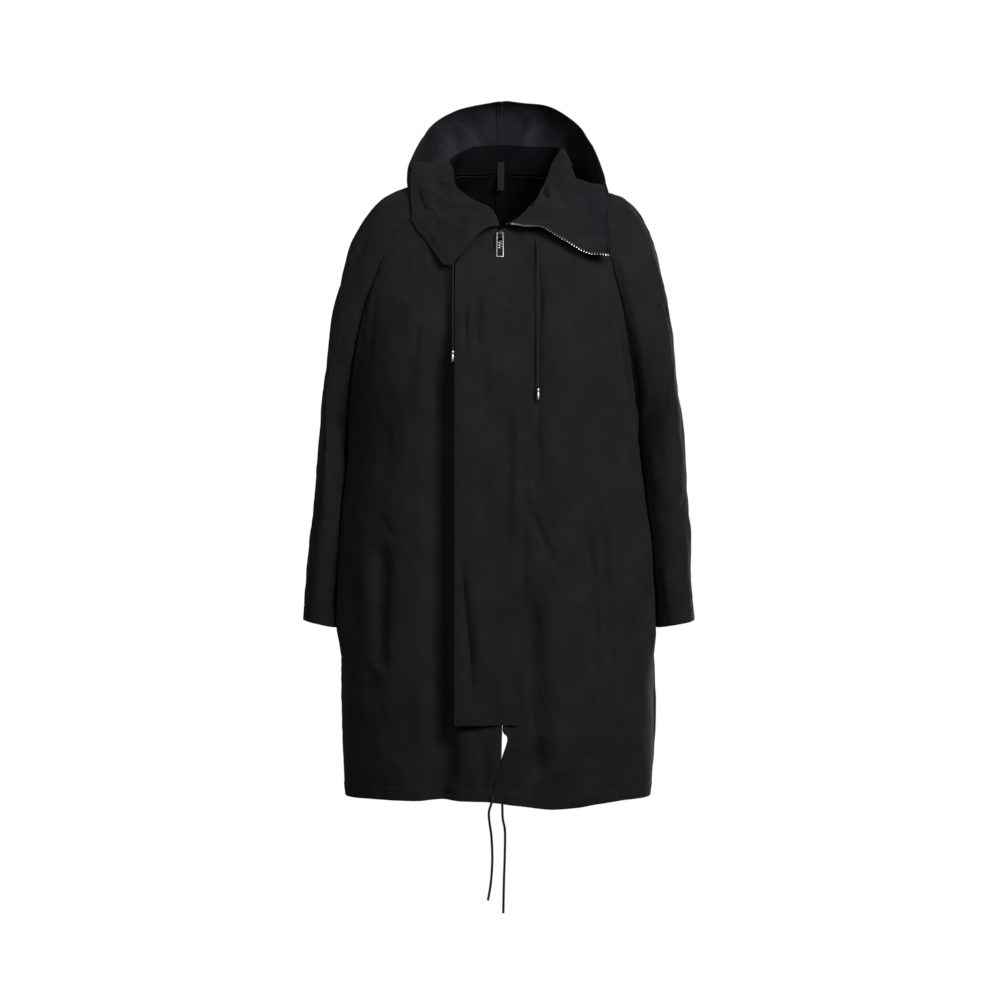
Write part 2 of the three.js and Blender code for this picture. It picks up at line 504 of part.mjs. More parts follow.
// Storm flap over the zip: free on the right, stitched down on the left
const FLAP_EDGE = [
  { depth: 100, freeX: -71, stitchX: 55 },
  { depth: 400, freeX: -72, stitchX: 52 },
  { depth: 545, freeX: -72, stitchX: 40 },
  { depth: 740, freeX: -72, stitchX: 38 },
  { depth: 870, freeX: -72, stitchX: 27 },
];
const flapEdge = reader(FLAP_EDGE, "depth");
const flapGrid = spread(0, 1, 24).map((share) => spread(0, 1, 8).map((s) => {
  const corner = 26 * Math.max(0, 1 - s / 0.22) ** 2;
  const z = mix(FLAP.topZ - corner + 4 * s, FLAP.bottomZ, share);
  const p = onFront(mix(flapEdge("freeX", -z), flapEdge("stitchX", -z), s), z);
  p.y -= mix(FLAP.freeLift, FLAP.stitchLift, smooth(s, 0, 0.75));
  return p;
}));
add("storm_flap", wall(flapGrid, -1));

// Closed zip behind the flap, between the two front edges
const zipGrid = spread(ZIP.topZ, ZIP.bottomZ, 24).map((z) => {
  const { y } = onFront(4, z);
  return [-0.5, 0, 0.5].map((s) => point(s * ZIP.width, y, z));
});
add("zip_chain", wall(zipGrid, -1, ZIP.thick), tape);

// Zip slider with its bridge, and the pull hung on the bridge: the flat shapes stand upright,
// are thickened towards the front, and tilt together
function upright(geometry, back, z) {
  geometry.rotateX(Math.PI / 2);
  geometry.translate(0, -back, 0);
  geometry.rotateX(degrees(-SLIDER.tilt));
  geometry.translate(0, onFront(4, z).y - 0.6, z);
  return geometry;
}
const outline = (points) => new THREE.Shape(points.map(([x, y]) => new THREE.Vector2(x, y)));
const half = { x: SLIDER.width / 2, z: SLIDER.length / 2 };
const sliderShape = outline([
  [-half.x + 1.5, -half.z], [half.x - 1.5, -half.z], [half.x - 0.6, -half.z + 2], [half.x - 0.6, 0], [half.x, 3],
  [half.x, half.z - 2], [half.x - 2, half.z], [-half.x + 2, half.z], [-half.x, half.z - 2], [-half.x, 3],
  [-half.x + 0.6, 0], [-half.x + 0.6, -half.z + 2],
]);
const sliderBody = new THREE.ExtrudeGeometry(sliderShape, { depth: SLIDER.thick, bevelEnabled: false });
add("zip_slider", upright(sliderBody, 0, SLIDER.z), metal);

const BRIDGE = { width: 3, reach: 6, high: 5.4, bar: 1.6, gap: 0.3 };
const bridgeShape = outline([
  [0, BRIDGE.reach], [BRIDGE.high - 2, BRIDGE.reach], [BRIDGE.high, BRIDGE.reach - 2], [BRIDGE.high, 2 - BRIDGE.reach],
  [BRIDGE.high - 2, -BRIDGE.reach], [0, -BRIDGE.reach], [0, BRIDGE.bar - BRIDGE.reach],
  [BRIDGE.high - BRIDGE.bar - 1.2, BRIDGE.bar - BRIDGE.reach], [BRIDGE.high - BRIDGE.bar, BRIDGE.bar - BRIDGE.reach + 1.2],
  [BRIDGE.high - BRIDGE.bar, BRIDGE.reach - BRIDGE.bar - 1.2], [BRIDGE.high - BRIDGE.bar - 1.2, BRIDGE.reach - BRIDGE.bar],
  [0, BRIDGE.reach - BRIDGE.bar],
]);
const bridge = new THREE.ExtrudeGeometry(bridgeShape, { depth: BRIDGE.width, bevelEnabled: false });
bridge.translate(0, 0, -BRIDGE.width / 2);
bridge.rotateY(-Math.PI / 2);
add("zip_bridge", upright(bridge, SLIDER.thick + BRIDGE.gap, SLIDER.z), metal);

// The pull: an open frame whose top bar passes under the bridge
const barAt = SLIDER.thick + BRIDGE.gap + (BRIDGE.high - BRIDGE.bar) / 2;
const pullShape = outline([
  [-PULL.width / 2, 1], [PULL.width / 2, 1], [PULL.width / 2, 1 - PULL.length], [-PULL.width / 2, 1 - PULL.length],
]);
const inner = { x: PULL.width / 2 - PULL.bar, top: -1, bottom: 1 - PULL.length + PULL.bar };
pullShape.holes.push(outline([
  [-inner.x, inner.top], [-inner.x, inner.bottom], [inner.x, inner.bottom], [inner.x, inner.top],
]));
const pull = new THREE.ExtrudeGeometry(pullShape, { depth: PULL.thick, bevelEnabled: false });
add("zip_pull", upright(pull, barAt - PULL.thick / 2, SLIDER.z), metal);

// Bare label hanging inside the back of the neck
const labelGrid = spread(LABEL.topZ, LABEL.bottomZ, 6).map((z) =>
  [0, 0.5, 1].map((s) => {
    const y = mix(LABEL.topY, LABEL.bottomY, (LABEL.topZ - z) / (LABEL.topZ - LABEL.bottomZ));
    return point(LABEL.left + s * LABEL.width, y, z);
  }));
add("neck_label", wall(labelGrid, -1, LABEL.thick), { color: 0x1b1c1e, roughness: 0.7, metalness: 0 });

// Cords: each a round section drawn along its path, those at the neck with a metal end
const PATHS = {
  neck_cord_left: [
    [57, -114.1, -90], [58.5, -121, -101], [60, -134, -122], [60.5, -146, -160], [60.5, -153, -215],
    [60.5, -157, -275], [60.5, -159, -334],
  ],
  neck_cord_right: [
    [-67, -121.8, -104], [-71, -133, -120], [-74.5, -146, -140], [-74.8, -153, -175], [-74.8, -157, -225],
    [-74.8, -158, -274],
  ],
  hem_cord_left: [
    [3.6, -153, -992], [4.4, -153, -1017], [7.6, -153, -1034], [7.6, -153, -1074], [6.3, -153, -1114],
    [5.2, -153, -1167],
  ],
  hem_cord_right: [
    [-10.6, -162, -978], [-12.9, -166, -989], [-17.6, -165.4, -1006], [-13.5, -164, -1045], [-12.2, -163, -1082],
    [-14.6, -163, -1118], [-19, -163, -1145],
  ],
};
for (const [name, path] of Object.entries(PATHS)) {
  const width = name.startsWith("neck") ? CORD.neck : CORD.hem;
  const curve = new THREE.CatmullRomCurve3(path.map(([x, y, z]) => point(x, y, z)), false, "centripetal");
  const section = outline(spread(0, 7, 7).map((i) => [
    (Math.cos((i * Math.PI) / 4) * width) / 2, (Math.sin((i * Math.PI) / 4) * width) / 2,
  ]));
  add(name, new THREE.ExtrudeGeometry(section, { steps: 22, bevelEnabled: false, extrudePath: curve }), cordCloth);
  if (name.startsWith("neck")) {
    const [x, y, z] = path[path.length - 1];
    const tip = new THREE.CylinderGeometry(CORD.tip / 2, CORD.tip / 2, CORD.tipLength, 12);
    tip.rotateX(Math.PI / 2);
    tip.translate(x, y, z - SEAM - CORD.tipLength / 2);
    add(name.replace("neck_cord", "cord_tip"), tip, metal);
  }
}

export default group;
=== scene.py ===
# A hooded parka, hanging filled out as when it is worn. The frame is in metres, +Z up, the front
# faces -Y and the wearer's left side is +X. Sizes of cloth and trims are in millimetres.
import math

import bmesh
import bpy
import numpy as np
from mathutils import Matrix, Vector, kdtree


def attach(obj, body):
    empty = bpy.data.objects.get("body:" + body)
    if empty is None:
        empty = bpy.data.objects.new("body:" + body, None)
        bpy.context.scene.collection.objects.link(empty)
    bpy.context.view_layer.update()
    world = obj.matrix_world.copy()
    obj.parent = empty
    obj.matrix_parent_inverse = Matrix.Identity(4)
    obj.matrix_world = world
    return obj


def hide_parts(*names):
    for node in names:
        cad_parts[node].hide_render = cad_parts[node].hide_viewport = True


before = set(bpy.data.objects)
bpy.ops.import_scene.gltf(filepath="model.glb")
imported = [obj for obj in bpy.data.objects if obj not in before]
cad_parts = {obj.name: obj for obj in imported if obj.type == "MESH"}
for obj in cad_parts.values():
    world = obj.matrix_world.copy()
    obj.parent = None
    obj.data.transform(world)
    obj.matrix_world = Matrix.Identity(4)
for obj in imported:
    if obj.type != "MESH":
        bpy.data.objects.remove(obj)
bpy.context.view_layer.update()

# The studio: a level camera four metres in front of the coat, a pale floor well below its cords,
# and a dim white surround with three large lamps: a strong one on the wearer's left, a weak one
# near the camera, and one behind that lights the back.
MM = 0.001
CAMERA = {"distance": 4.0, "height": -0.5115, "lens": 87.3}
FLOOR = {"z": -2.2, "reach": 3.0, "tones": ((0.90, 0.90, 0.90), (0.95, 0.95, 0.95))}
FLOOR_BASE = {"Roughness": 0.9, "Specular IOR Level": 0.1, "Emission Strength": 0.95}
SKY = 0.11  # what the white surround gives the coat, against 1 for what is seen of it
LAMPS = {
    "lamp_left": {"place": (1.25, -2.1, 0.75), "size": 1.0, "watts": 76},
    "lamp_right": {"place": (-0.75, -2.6, 0.6), "size": 1.0, "watts": 17},
    "lamp_behind": {"place": (0.9, 2.9, -0.2), "size": 2.0, "watts": 95},
}
LAMPS_AIM = (0, 0, -0.4)
scene = bpy.context.scene
camera = bpy.data.objects.new("camera", bpy.data.cameras.new("camera"))
camera.location = (0, -CAMERA["distance"], CAMERA["height"])
camera.rotation_euler = (math.pi / 2, 0, 0)
camera.data.lens = CAMERA["lens"]
camera.data.clip_end = 100
scene.collection.objects.link(camera)
scene.camera = camera
scene.view_settings.view_transform = "Standard"


class Shade:
    """An output in a material's nodes. An expression on it adds the Math nodes that work it out."""

    def __init__(self, tree, socket=None):
        self.tree = tree
        self.socket = socket

    def node(self, kind, settings, values, out=0):
        node = self.tree.nodes.new(f"ShaderNode{kind}")
        for name, value in settings.items():
            setattr(node, name, value)
        for name, value in values.items():
            if isinstance(value, Shade):
                self.tree.links.new(value.socket, node.inputs[name])
            else:
                node.inputs[name].default_value = value
        return Shade(self.tree, node.outputs[out])

    def maths(self, operation, first, second=0.0):
        return self.node("Math", {"operation": operation}, {0: first, 1: second})

    def __add__(self, other):
        return self.maths("ADD", self, other)

    def __radd__(self, other):
        return self.maths("ADD", other, self)

    def __sub__(self, other):
        return self.maths("SUBTRACT", self, other)

    def __rsub__(self, other):
        return self.maths("SUBTRACT", other, self)

    def __mul__(self, other):
        return self.maths("MULTIPLY", self, other)

    def __rmul__(self, other):
        return self.maths("MULTIPLY", other, self)


scene.world = bpy.data.worlds.new("studio")
scene.world.use_nodes = True
studio = Shade(scene.world.node_tree)
seen = studio.node("LightPath", {}, {})
backdrop = seen * (1 - SKY) + SKY
sky = scene.world.node_tree.nodes["Background"]
sky.inputs["Color"].default_value = (1, 1, 1, 1)
scene.world.node_tree.links.new(backdrop.socket, sky.inputs["Strength"])
for name, lamp in LAMPS.items():
    light = bpy.data.objects.new(name, bpy.data.lights.new(name, "AREA"))
    light.data.size = lamp["size"]
    light.data.energy = lamp["watts"]
    light.location = lamp["place"]
    aim = Vector(LAMPS_AIM) - light.location
    light.rotation_euler = aim.to_track_quat("-Z", "Y").to_euler()
    scene.collection.objects.link(light)


def material(name, base, finish):
    """A material whose surface gets base's plain values, then what finish(shade) works out."""
    made = bpy.data.materials.new(name)
    made.use_nodes = True
    made.node_tree.nodes.clear()
    start = Shade(made.node_tree)
    varied = finish(start)
    surface = start.node("BsdfPrincipled", {}, {**base, **varied})
    output = made.node_tree.nodes.new("ShaderNodeOutputMaterial")
    made.node_tree.links.new(surface.socket, output.inputs["Surface"])
    return made


def tinted(shade, dark, light, mask):
    """A colour between dark and light, as mask goes from 0 to 1."""
    mix = {"data_type": "RGBA"}
    return shade.node("Mix", mix, {"Factor": mask, 6: (*dark, 1), 7: (*light, 1)}, out=2)


def floor_finish(shade):
    grain = shade.node("TexNoise", {}, {"Scale": 3.0, "Detail": 2.0})
    pale = tinted(shade, *FLOOR["tones"], grain)
    return {"Base Color": pale, "Emission Color": pale}


reach = FLOOR["reach"]
corners = [(x * reach, y * reach, FLOOR["z"]) for x, y in ((-1, -1), (1, -1), (1, 1), (-1, 1))]
floor_mesh = bpy.data.meshes.new("floor")
floor_mesh.from_pydata(corners, [], [(0, 1, 2, 3)])
floor_mesh.materials.append(material("floor", FLOOR_BASE, floor_finish))
floor = bpy.data.objects.new("floor", floor_mesh)
floor.visible_diffuse = floor.visible_glossy = False  # it is seen, but throws no light up at the coat
scene.collection.objects.link(floor)


# Drawcords: round black braid, knotted off inside the neck seam and the hem casing, from which
# the ends hang free. Those at the neck are crimped into metal tips, those at the hem are sealed.
CORD = {"neck": 3.0, "hem": 4.0, "sides": 16, "ring": 0.9, "braid": 5.0, "relief": 0.07}
CORD_TONES = ((0.006, 0.006, 0.0065), (0.016, 0.016, 0.017))
PATHS = {
    "neck_cord_left": [
        (57, -114.1, -90), (58.5, -121, -101), (60, -134, -122), (60.5, -146, -160), (60.5, -153, -215),
        (60.5, -157, -275), (60.5, -159, -334),
    ],
    "neck_cord_right": [
        (-67, -121.8, -104), (-71, -133, -120), (-74.5, -146, -140), (-74.8, -153, -175), (-74.8, -157, -225),
        (-74.8, -158, -274),
    ],
    "hem_cord_left": [
        (3.6, -153, -992), (4.4, -153, -1017), (7.6, -153, -1034), (7.6, -153, -1074), (6.3, -153, -1114),
        (5.2, -153, -1167),
    ],
    "hem_cord_right": [
        (-10.6, -162, -978), (-12.9, -166, -989), (-17.6, -165.4, -1006), (-13.5, -164, -1045),
        (-12.2, -163, -1082), (-14.6, -163, -1118), (-19, -163, -1145),
    ],
}


def through(points, steps):
    """A smooth curve through points, steps along each stretch between two of them."""
    p = np.array(points, float)
    p = np.vstack([2 * p[0] - p[1], p, 2 * p[-1] - p[-2]])
    gap = np.linalg.norm(np.diff(p, axis=0), axis=1) ** 0.5
    curve = []
    for i in range(1, len(p) - 2):
        a, b, c = gap[i - 1], gap[i], gap[i + 1]
        leave = ((p[i] - p[i - 1]) / a - (p[i + 1] - p[i - 1]) / (a + b)) * b + p[i + 1] - p[i]
        arrive = ((p[i + 2] - p[i + 1]) / c - (p[i + 2] - p[i]) / (b + c)) * b + p[i + 1] - p[i]
        t = np.linspace(0, 1, steps, endpoint=False)[:, None]
        curve.append(
            p[i] * (1 + 2 * t) * (1 - t) ** 2 + leave * t * (1 - t) ** 2
            + p[i + 1] * t * t * (3 - 2 * t) + arrive * t * t * (t - 1)
        )
    return np.vstack([*curve, p[-2:-1]])


def spaced(line, step):
    """Points along a line at even steps, with how far along each lies."""
    far = np.concatenate([[0], np.cumsum(np.linalg.norm(np.diff(line, axis=0), axis=1))])
    at = np.linspace(0, far[-1], max(2, round(far[-1] / step) + 1))
    return np.stack([np.interp(at, far, line[:, k]) for k in range(line.shape[1])], 1), at


def piece(name, points, faces, looks, uv=None, face_look=None, crease=50, body="coat"):
    """A mesh in the frame from points in millimetres, riding on a body of the coat."""
    mesh = bpy.data.meshes.new(name)
    mesh.from_pydata(np.asarray(points) * MM, [], faces)
    for look in looks:
        mesh.materials.append(look)
    if face_look is not None:
        mesh.polygons.foreach_set("material_index", np.asarray(face_look, np.int32))
    if uv is not None:
        corners = np.empty(len(mesh.loops), np.int32)
        mesh.loops.foreach_get("vertex_index", corners)
        chart = mesh.uv_layers.new(name="cloth").data
        chart.foreach_set("uv", (uv[corners] * MM).astype(np.float32).ravel())
    mesh.shade_smooth()
    mesh.set_sharp_from_angle(angle=math.radians(crease))
    made = bpy.data.objects.new(name, mesh)
    scene.collection.objects.link(made)
    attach(made, body)
    return made


def tube_faces(rings, sides):
    """The faces of a tube of rings of points, closed at both ends."""
    faces = [
        (i * sides + j, i * sides + (j + 1) % sides, (i + 1) * sides + (j + 1) % sides, (i + 1) * sides + j)
        for i in range(rings - 1) for j in range(sides)
    ]
    return faces + [tuple(range(sides))[::-1], tuple(range((rings - 1) * sides, rings * sides))]


def cord_finish(shade):
    strands = shade.node("TexNoise", {}, {"Scale": 900.0, "Detail": 2.0})
    return {"Base Color": tinted(shade, *CORD_TONES, strands)}


def braided(name, width, line):
    """A cord's round braid along a line: crossing strands stand out of it a little."""
    centre, along = spaced(line, CORD["ring"])
    ahead = np.gradient(centre, axis=0)
    ahead /= np.linalg.norm(ahead, axis=1, keepdims=True)
    aside = np.cross(ahead, (0, 1, 0))
    aside /= np.linalg.norm(aside, axis=1, keepdims=True)
    across = np.cross(ahead, aside)
    turn = np.arange(CORD["sides"]) * 2 * math.pi / CORD["sides"]
    wave = 2 * math.pi * along[:, None] / CORD["braid"]
    strand = np.maximum(np.sin(4 * turn + wave), np.sin(4 * turn - wave))
    radius = (width / 2 * (1 - CORD["relief"] + CORD["relief"] * strand))[..., None]
    ring = np.cos(turn)[None, :, None] * aside[:, None] + np.sin(turn)[None, :, None] * across[:, None]
    points = (centre[:, None] + ring * radius).reshape(-1, 3)
    faces = tube_faces(len(centre), CORD["sides"])
    return piece(name, points, faces, [CORD_LOOK]), centre, float(along[-1])


CORD_LOOK = material("braid", {"Roughness": 0.85, "Specular IOR Level": 0.2}, cord_finish)

# Cord tips and the coat's other metal: die-cast, and either plated bright, as the tips, the zip's
# teeth and its pull, or lacquered black, as the slider and its bridge. Wear varies their gloss.
METAL_BASE = {"Metallic": 1.0}
PLATED = {"tones": ((0.30, 0.30, 0.31), (0.46, 0.46, 0.47)), "grain": 700.0, "rough": 0.3}
LACQUERED = {"tones": ((0.020, 0.020, 0.022), (0.045, 0.045, 0.048)), "grain": 500.0, "rough": 0.35}
# A tip's outline from its top: how far down, and the radius there.
TIP_SIDES = 20
TIP_PROFILE = [
    (0, 1.3), (0.5, 2.1), (1.2, 2.45), (5.4, 2.5), (6, 2.2), (7.2, 2.2), (7.8, 2.5), (17.2, 2.5),
    (18.4, 2.1), (19, 1.3),
]


def cast_metal(skin):
    def finish(shade):
        worn = shade.node("TexNoise", {}, {"Scale": skin["grain"], "Detail": 3.0})
        return {"Base Color": tinted(shade, *skin["tones"], worn), "Roughness": worn * 0.2 + skin["rough"]}
    return finish


METAL_LOOK = material("plated_metal", METAL_BASE, cast_metal(PLATED))
LACQUER_LOOK = material("lacquered_metal", METAL_BASE, cast_metal(LACQUERED))


def tip(name, top):
    """A crimped metal tip hanging below the end of a cord."""
    points = [
        (top[0] + r * math.cos(a), top[1] + r * math.sin(a), top[2] - down)
        for down, r in TIP_PROFILE for a in np.arange(TIP_SIDES) * 2 * math.pi / TIP_SIDES
    ]
    faces = [face[::-1] for face in tube_faces(len(TIP_PROFILE), TIP_SIDES)]
    return piece(name, points, faces, [METAL_LOOK], crease=60)


for name, path in PATHS.items():
    at_neck = name.startswith("neck")
    width = CORD["neck"] if at_neck else CORD["hem"]
    cord, centre, length = braided(f"{name}_braid", width, through(path, 12))
    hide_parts(name)
    ends = []
    if at_neck:
        side = name.split("_")[-1]
        ends = [tip(f"tip_{side}", np.array(path[-1]) - (0, 0, 0.3))]
        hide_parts(f"cord_tip_{side}")
    width * MM


# Cloth: dense plain-woven cotton, dyed near-black and dead matt, a little uneven in tone. The hood
# is lined with a smoother, bluer cloth of the same weight, darkened away from the crown by painted
# shade; the rest of the inside is painted darker than the shell, as painted shade, without sheen.
CLOTH = {"thick": 1.6, "seam": 0.3, "thread": 0.55, "slub": 0.25}
CLOTH_BASE = {"Roughness": 0.92, "Specular IOR Level": 0.12, "Sheen Weight": 0.02, "Sheen Roughness": 0.6}
# Base for the inside's painted shade: no sheen and little gloss.
INSIDE_PAINTED_SHADE_BASE = {**CLOTH_BASE, "Specular IOR Level": 0.04, "Sheen Weight": 0.0}
SHELL_TONES = ((0.0048, 0.0056, 0.0066), (0.0098, 0.0112, 0.0127))
LINING_TONES = ((0.0034, 0.0046, 0.0060), (0.0270, 0.0310, 0.0375))
# Painted shade in the hood lining: it darkens between two distances from the crown.
LINING_PAINTED_SHADE = {"from": 0.08, "to": 0.17, "left": 0.2}  # metres from the crown, and the light left there
# Painted shade for the inside of the coat: tones darker than the shell's.
INSIDE_PAINTED_SHADE_TONES = ((0.0016, 0.0022, 0.0026), (0.0036, 0.0044, 0.0050))


def woven(tones, painted_shade=None):
    """Plain weave between two tones, which painted shade, if given, darkens between two distances across the
    cloth.
    """
    def finish(shade):
        chart = shade.node("UVMap", {"uv_map": "cloth"}, {})
        parts = [shade.node("SeparateXYZ", {}, {"Vector": chart}, out=k) for k in (0, 1)]
        turns = 2 * math.pi / (CLOTH["thread"] * MM)
        weft, warp = [shade.maths("SINE", part * turns) for part in parts]
        cloud = shade.node("TexNoise", {}, {"Vector": chart, "Scale": 14.0, "Detail": 4.0})
        slub = shade.node("TexNoise", {}, {"Vector": chart, "Scale": 420.0, "Detail": 2.0})
        weave = weft * warp * 0.5 + slub * 1.4
        patchy = {"Vector": chart, "Scale": 34.0, "Detail": 3.0, "Distortion": 0.6}
        wash = shade.node("TexNoise", {}, patchy)
        tone = cloud * 2.0 + wash * 1.1 + slub * 0.5 - 1.3
        # Painted shade: the tone darkens between two distances across the cloth.
        if painted_shade:
            stretch = {"Value": parts[0], "From Min": painted_shade["from"], "From Max": painted_shade["to"]}
            stretch |= {"To Min": 1.0, "To Max": painted_shade["left"]}
            tone = tone * shade.node("MapRange", {"interpolation_type": "SMOOTHSTEP"}, stretch)
        raised = shade.node("Bump", {}, {"Height": weave, "Strength": 0.25, "Distance": CLOTH["slub"] * MM})
        return {"Base Color": tinted(shade, *tones, tone), "Roughness": tone * 0.12 + 0.84, "Normal": raised}
    return finish


SHELL_LOOK = material("shell_cotton", CLOTH_BASE, woven(SHELL_TONES))
# The hood lining, with painted shade away from the crown.
LINING_LOOK = material("hood_lining", CLOTH_BASE, woven(LINING_TONES, LINING_PAINTED_SHADE))
# Painted shade: the inside of the coat, darker than the shell.
INSIDE_PAINTED_SHADE_LOOK = material("inside_painted_shade", INSIDE_PAINTED_SHADE_BASE, woven(INSIDE_PAINTED_SHADE_TONES))
THREAD_LOOK = material("thread", {"Roughness": 0.7, "Specular IOR Level": 0.3}, cord_finish)

# Body panels: two fronts and two backs, each cut in one from neckline to hem. The edges are
# seamed with the cloth rolled in and topstitched, and the hem is a casing turned up and stitched.
UNDERARM = 0.46
UNDERARM_ROW = 95
HEM_Z = -990
NEAR_SEAM = [0, 0.4, 1.0, 1.8, 2.9, 4.2, 5.3, 6.0, 6.7, 8.0, 10.5, 14.0]
STITCH_AT = NEAR_SEAM.index(6.0)
HEM = {"casing": 22.0, "steps": [26, 24.4, 23.2, 22, 20.8, 19, 16, 13, 10, 7, 4.5, 2.6, 1.3, 0.5, 0]}
HEM_STITCH = HEM["steps"].index(22) - len(HEM["steps"])  # its row, counted from the hem
STITCH = {"pitch": 3.4, "length": 2.5, "thick": 0.5}


def table(columns, *rows):
    """A table with named columns, a row for each section."""
    return dict(zip(columns.split(), np.array(rows, float).T))


FRONT = table(
    "down midZ midY turn",
    (0, -74, -103, 44), (0.05, -104, -116, 34), (0.1, -140, -129, 28), (0.16, -185, -139, 34),
    (0.22, -235, -146, 42), (0.28, -290, -150, 48), (0.34, -345, -153, 56), (0.4, -400, -154, 68),
    (0.46, -455, -155, 84), (0.55, -540, -157, 96), (0.7, -690, -160, 96), (0.8, -795, -162, 92),
    (0.93, -925, -163, 90), (1, HEM_Z, -158, 90),
)
BACK = table(
    "down midZ midY turn vent",
    (0, 36, 97, -42, 0), (0.05, 5, 115, -34, 0), (0.1, -30, 130, -30, 0), (0.16, -80, 142, -32, 0),
    (0.22, -145, 150, -38, 0), (0.28, -215, 154, -46, 0), (0.34, -290, 153, -56, 0),
    (0.4, -370, 150, -70, 0), (0.46, -445, 148, -84, 0), (0.55, -535, 147, -92, 0),
    (0.7, -690, 149, -93, 0), (0.8, -800, 151, -91, 1), (0.93, -930, 153, -90, 20), (1, -992, 150, -90, 26),
)
ARMHOLE_FRONT = table(
    "down left right y z",
    (0, 80, 80, -54, -24), (0.05, 106, 108, -76, -42), (0.1, 136, 142, -95, -66),
    (0.16, 176, 184, -104, -112), (0.22, 196, 210, -101, -172), (0.28, 209, 228, -90, -232),
    (0.34, 219, 240, -70, -290), (0.4, 227, 248, -36, -352), (0.46, 232, 252, 22, -432),
)
ARMHOLE_BACK = table(
    "down left right y z",
    (0, 74, 74, 66, 30), (0.05, 104, 106, 92, 6), (0.1, 136, 140, 112, -26), (0.16, 172, 180, 124, -84),
    (0.22, 192, 206, 124, -155), (0.28, 206, 225, 116, -225), (0.34, 217, 238, 100, -290),
    (0.4, 226, 247, 70, -356), (0.46, 232, 252, 22, -432),
)
SIDE_SEAM = table(
    "down left right y z",
    (0.46, 232, 252, 22, -432), (0.55, 236, 254, 24, -525), (0.7, 247, 259, 22, -690),
    (0.8, 254, 263, 18, -797), (0.93, 254, 260, 15, -930), (1, 247, 253, 14, -996),
)
FRONT_EDGES = table(
    "depth left right leftY rightY",
    (60, 3.9, -3.9, 0, 0), (857, 3.9, -3.9, 0, 0), (864, 3.9, 2.4, 0, 0), (880, 4.4, 3.8, 0, -1),
    (885, 10.2, 3.4, 0, -2), (892, 11.2, 3.2, 1, -2), (904, 8, 3, 2, -3), (918, 3, 2.5, 5, -4),
    (940, -5, -3, 6, -4), (965, -12, -11, 6, -4), (1000, -20, -15, 6, -4),
)
DIP = {"x": 92, "width": 78, "depth": 14}
# How deep the front armhole seam lies, and how the body swells around the sleeve that lies against
# it. Both come in and go out between two depths below the frame's zero.
SINK = {"left": 7.5, "right": 2.5, "width": 7.0, "from": (105, 150), "to": (330, 390)}
SWELL = {"height": 7.5, "from_seam": 44, "width": 24, "from": (372, 420), "to": (720, 800)}


def read(rows, name, at, along="down"):
    """A smooth curve through one column of a table, against the column named by along."""
    value = rows[name]
    place = rows[along] if along else np.arange(len(value), dtype=float)
    slope = np.empty(len(value))
    slope[1:-1] = (value[2:] - value[:-2]) / (place[2:] - place[:-2])
    slope[0] = (value[1] - value[0]) / (place[1] - place[0])
    slope[-1] = (value[-1] - value[-2]) / (place[-1] - place[-2])
    i = np.clip(np.searchsorted(place, at) - 1, 0, len(value) - 2)
    wide = place[i + 1] - place[i]
    t = (at - place[i]) / wide
    s = 1 - t
    return (
        value[i] * (1 + 2 * t) * s * s + slope[i] * wide * t * s * s
        + value[i + 1] * t * t * (3 - 2 * t) + slope[i + 1] * wide * t * t * (t - 1)
    )


def xyz(x, y, z):
    """Points from their three coordinates."""
    return np.stack(np.broadcast_arrays(x, y, z), -1).astype(float)


def cubic(p0, p1, p2, p3, t):
    """Points at t on the curve from p0 to p3 that p1 and p2 pull at."""
    t = np.asarray(t)[..., None]
    s = 1 - t
    return p0 * s**3 + 3 * p1 * s * s * t + 3 * p2 * s * t * t + p3 * t**3


def smooth(x, low, high):
    """0 up to low, 1 from high on, and a soft step between."""
    t = np.clip((x - low) / (high - low), 0, 1)
    return t * t * (3 - 2 * t)


def body_edge(side, face, down):
    """A body panel's outer edge: the raglan seam, then the side seam below the underarm."""
    word = "left" if side > 0 else "right"
    armhole = ARMHOLE_FRONT if face < 0 else ARMHOLE_BACK
    upper, lower = np.minimum(down, UNDERARM), np.maximum(down, UNDERARM)
    x, y, z = (
        np.where(down <= UNDERARM, read(armhole, k, upper), read(SIDE_SEAM, k, lower)) for k in (word, "y", "z")
    )
    return xyz(side * x, y, z)


def body_row(start, end, side, turn, climb, across):
    """A row of a body panel, from its middle edge round to its outer edge."""
    span = np.linalg.norm(end - start, axis=-1)
    zero = np.zeros_like(span)
    lead = start + xyz(side * span * 0.5, zero, zero)
    arrive = xyz(side * np.cos(turn) * span * 0.36, np.sin(turn) * span * 0.36, climb)
    return cubic(start, lead, end - arrive, end, across)


def front_form(side, down, across):
    """The smooth front, down from the neck and across from its middle edge."""
    word = "left" if side > 0 else "right"
    z = read(FRONT, "midZ", down)
    edge = [read(FRONT_EDGES, k, -z, "depth") for k in (word, f"{word}Y")]
    end = body_edge(side, -1, down)
    start = xyz(edge[0], read(FRONT, "midY", down) + edge[1], z)
    p = body_row(start, end, side, np.radians(read(FRONT, "turn", down)), (end[..., 2] - z) * 0.12, across)
    if side > 0:
        dip = np.exp(-(((p[..., 0] - DIP["x"]) / DIP["width"]) ** 2))
        p[..., 2] -= DIP["depth"] * dip * smooth(down, 0.9, 1)
    return p


def back_form(side, down, across):
    """The smooth back, down from the neck and across from its middle seam."""
    aside = side * np.maximum(0, read(BACK, "vent", down))
    start = xyz(aside, read(BACK, "midY", down), read(BACK, "midZ", down))
    return body_row(start, body_edge(side, 1, down), side, np.radians(read(BACK, "turn", down)), 0, across)


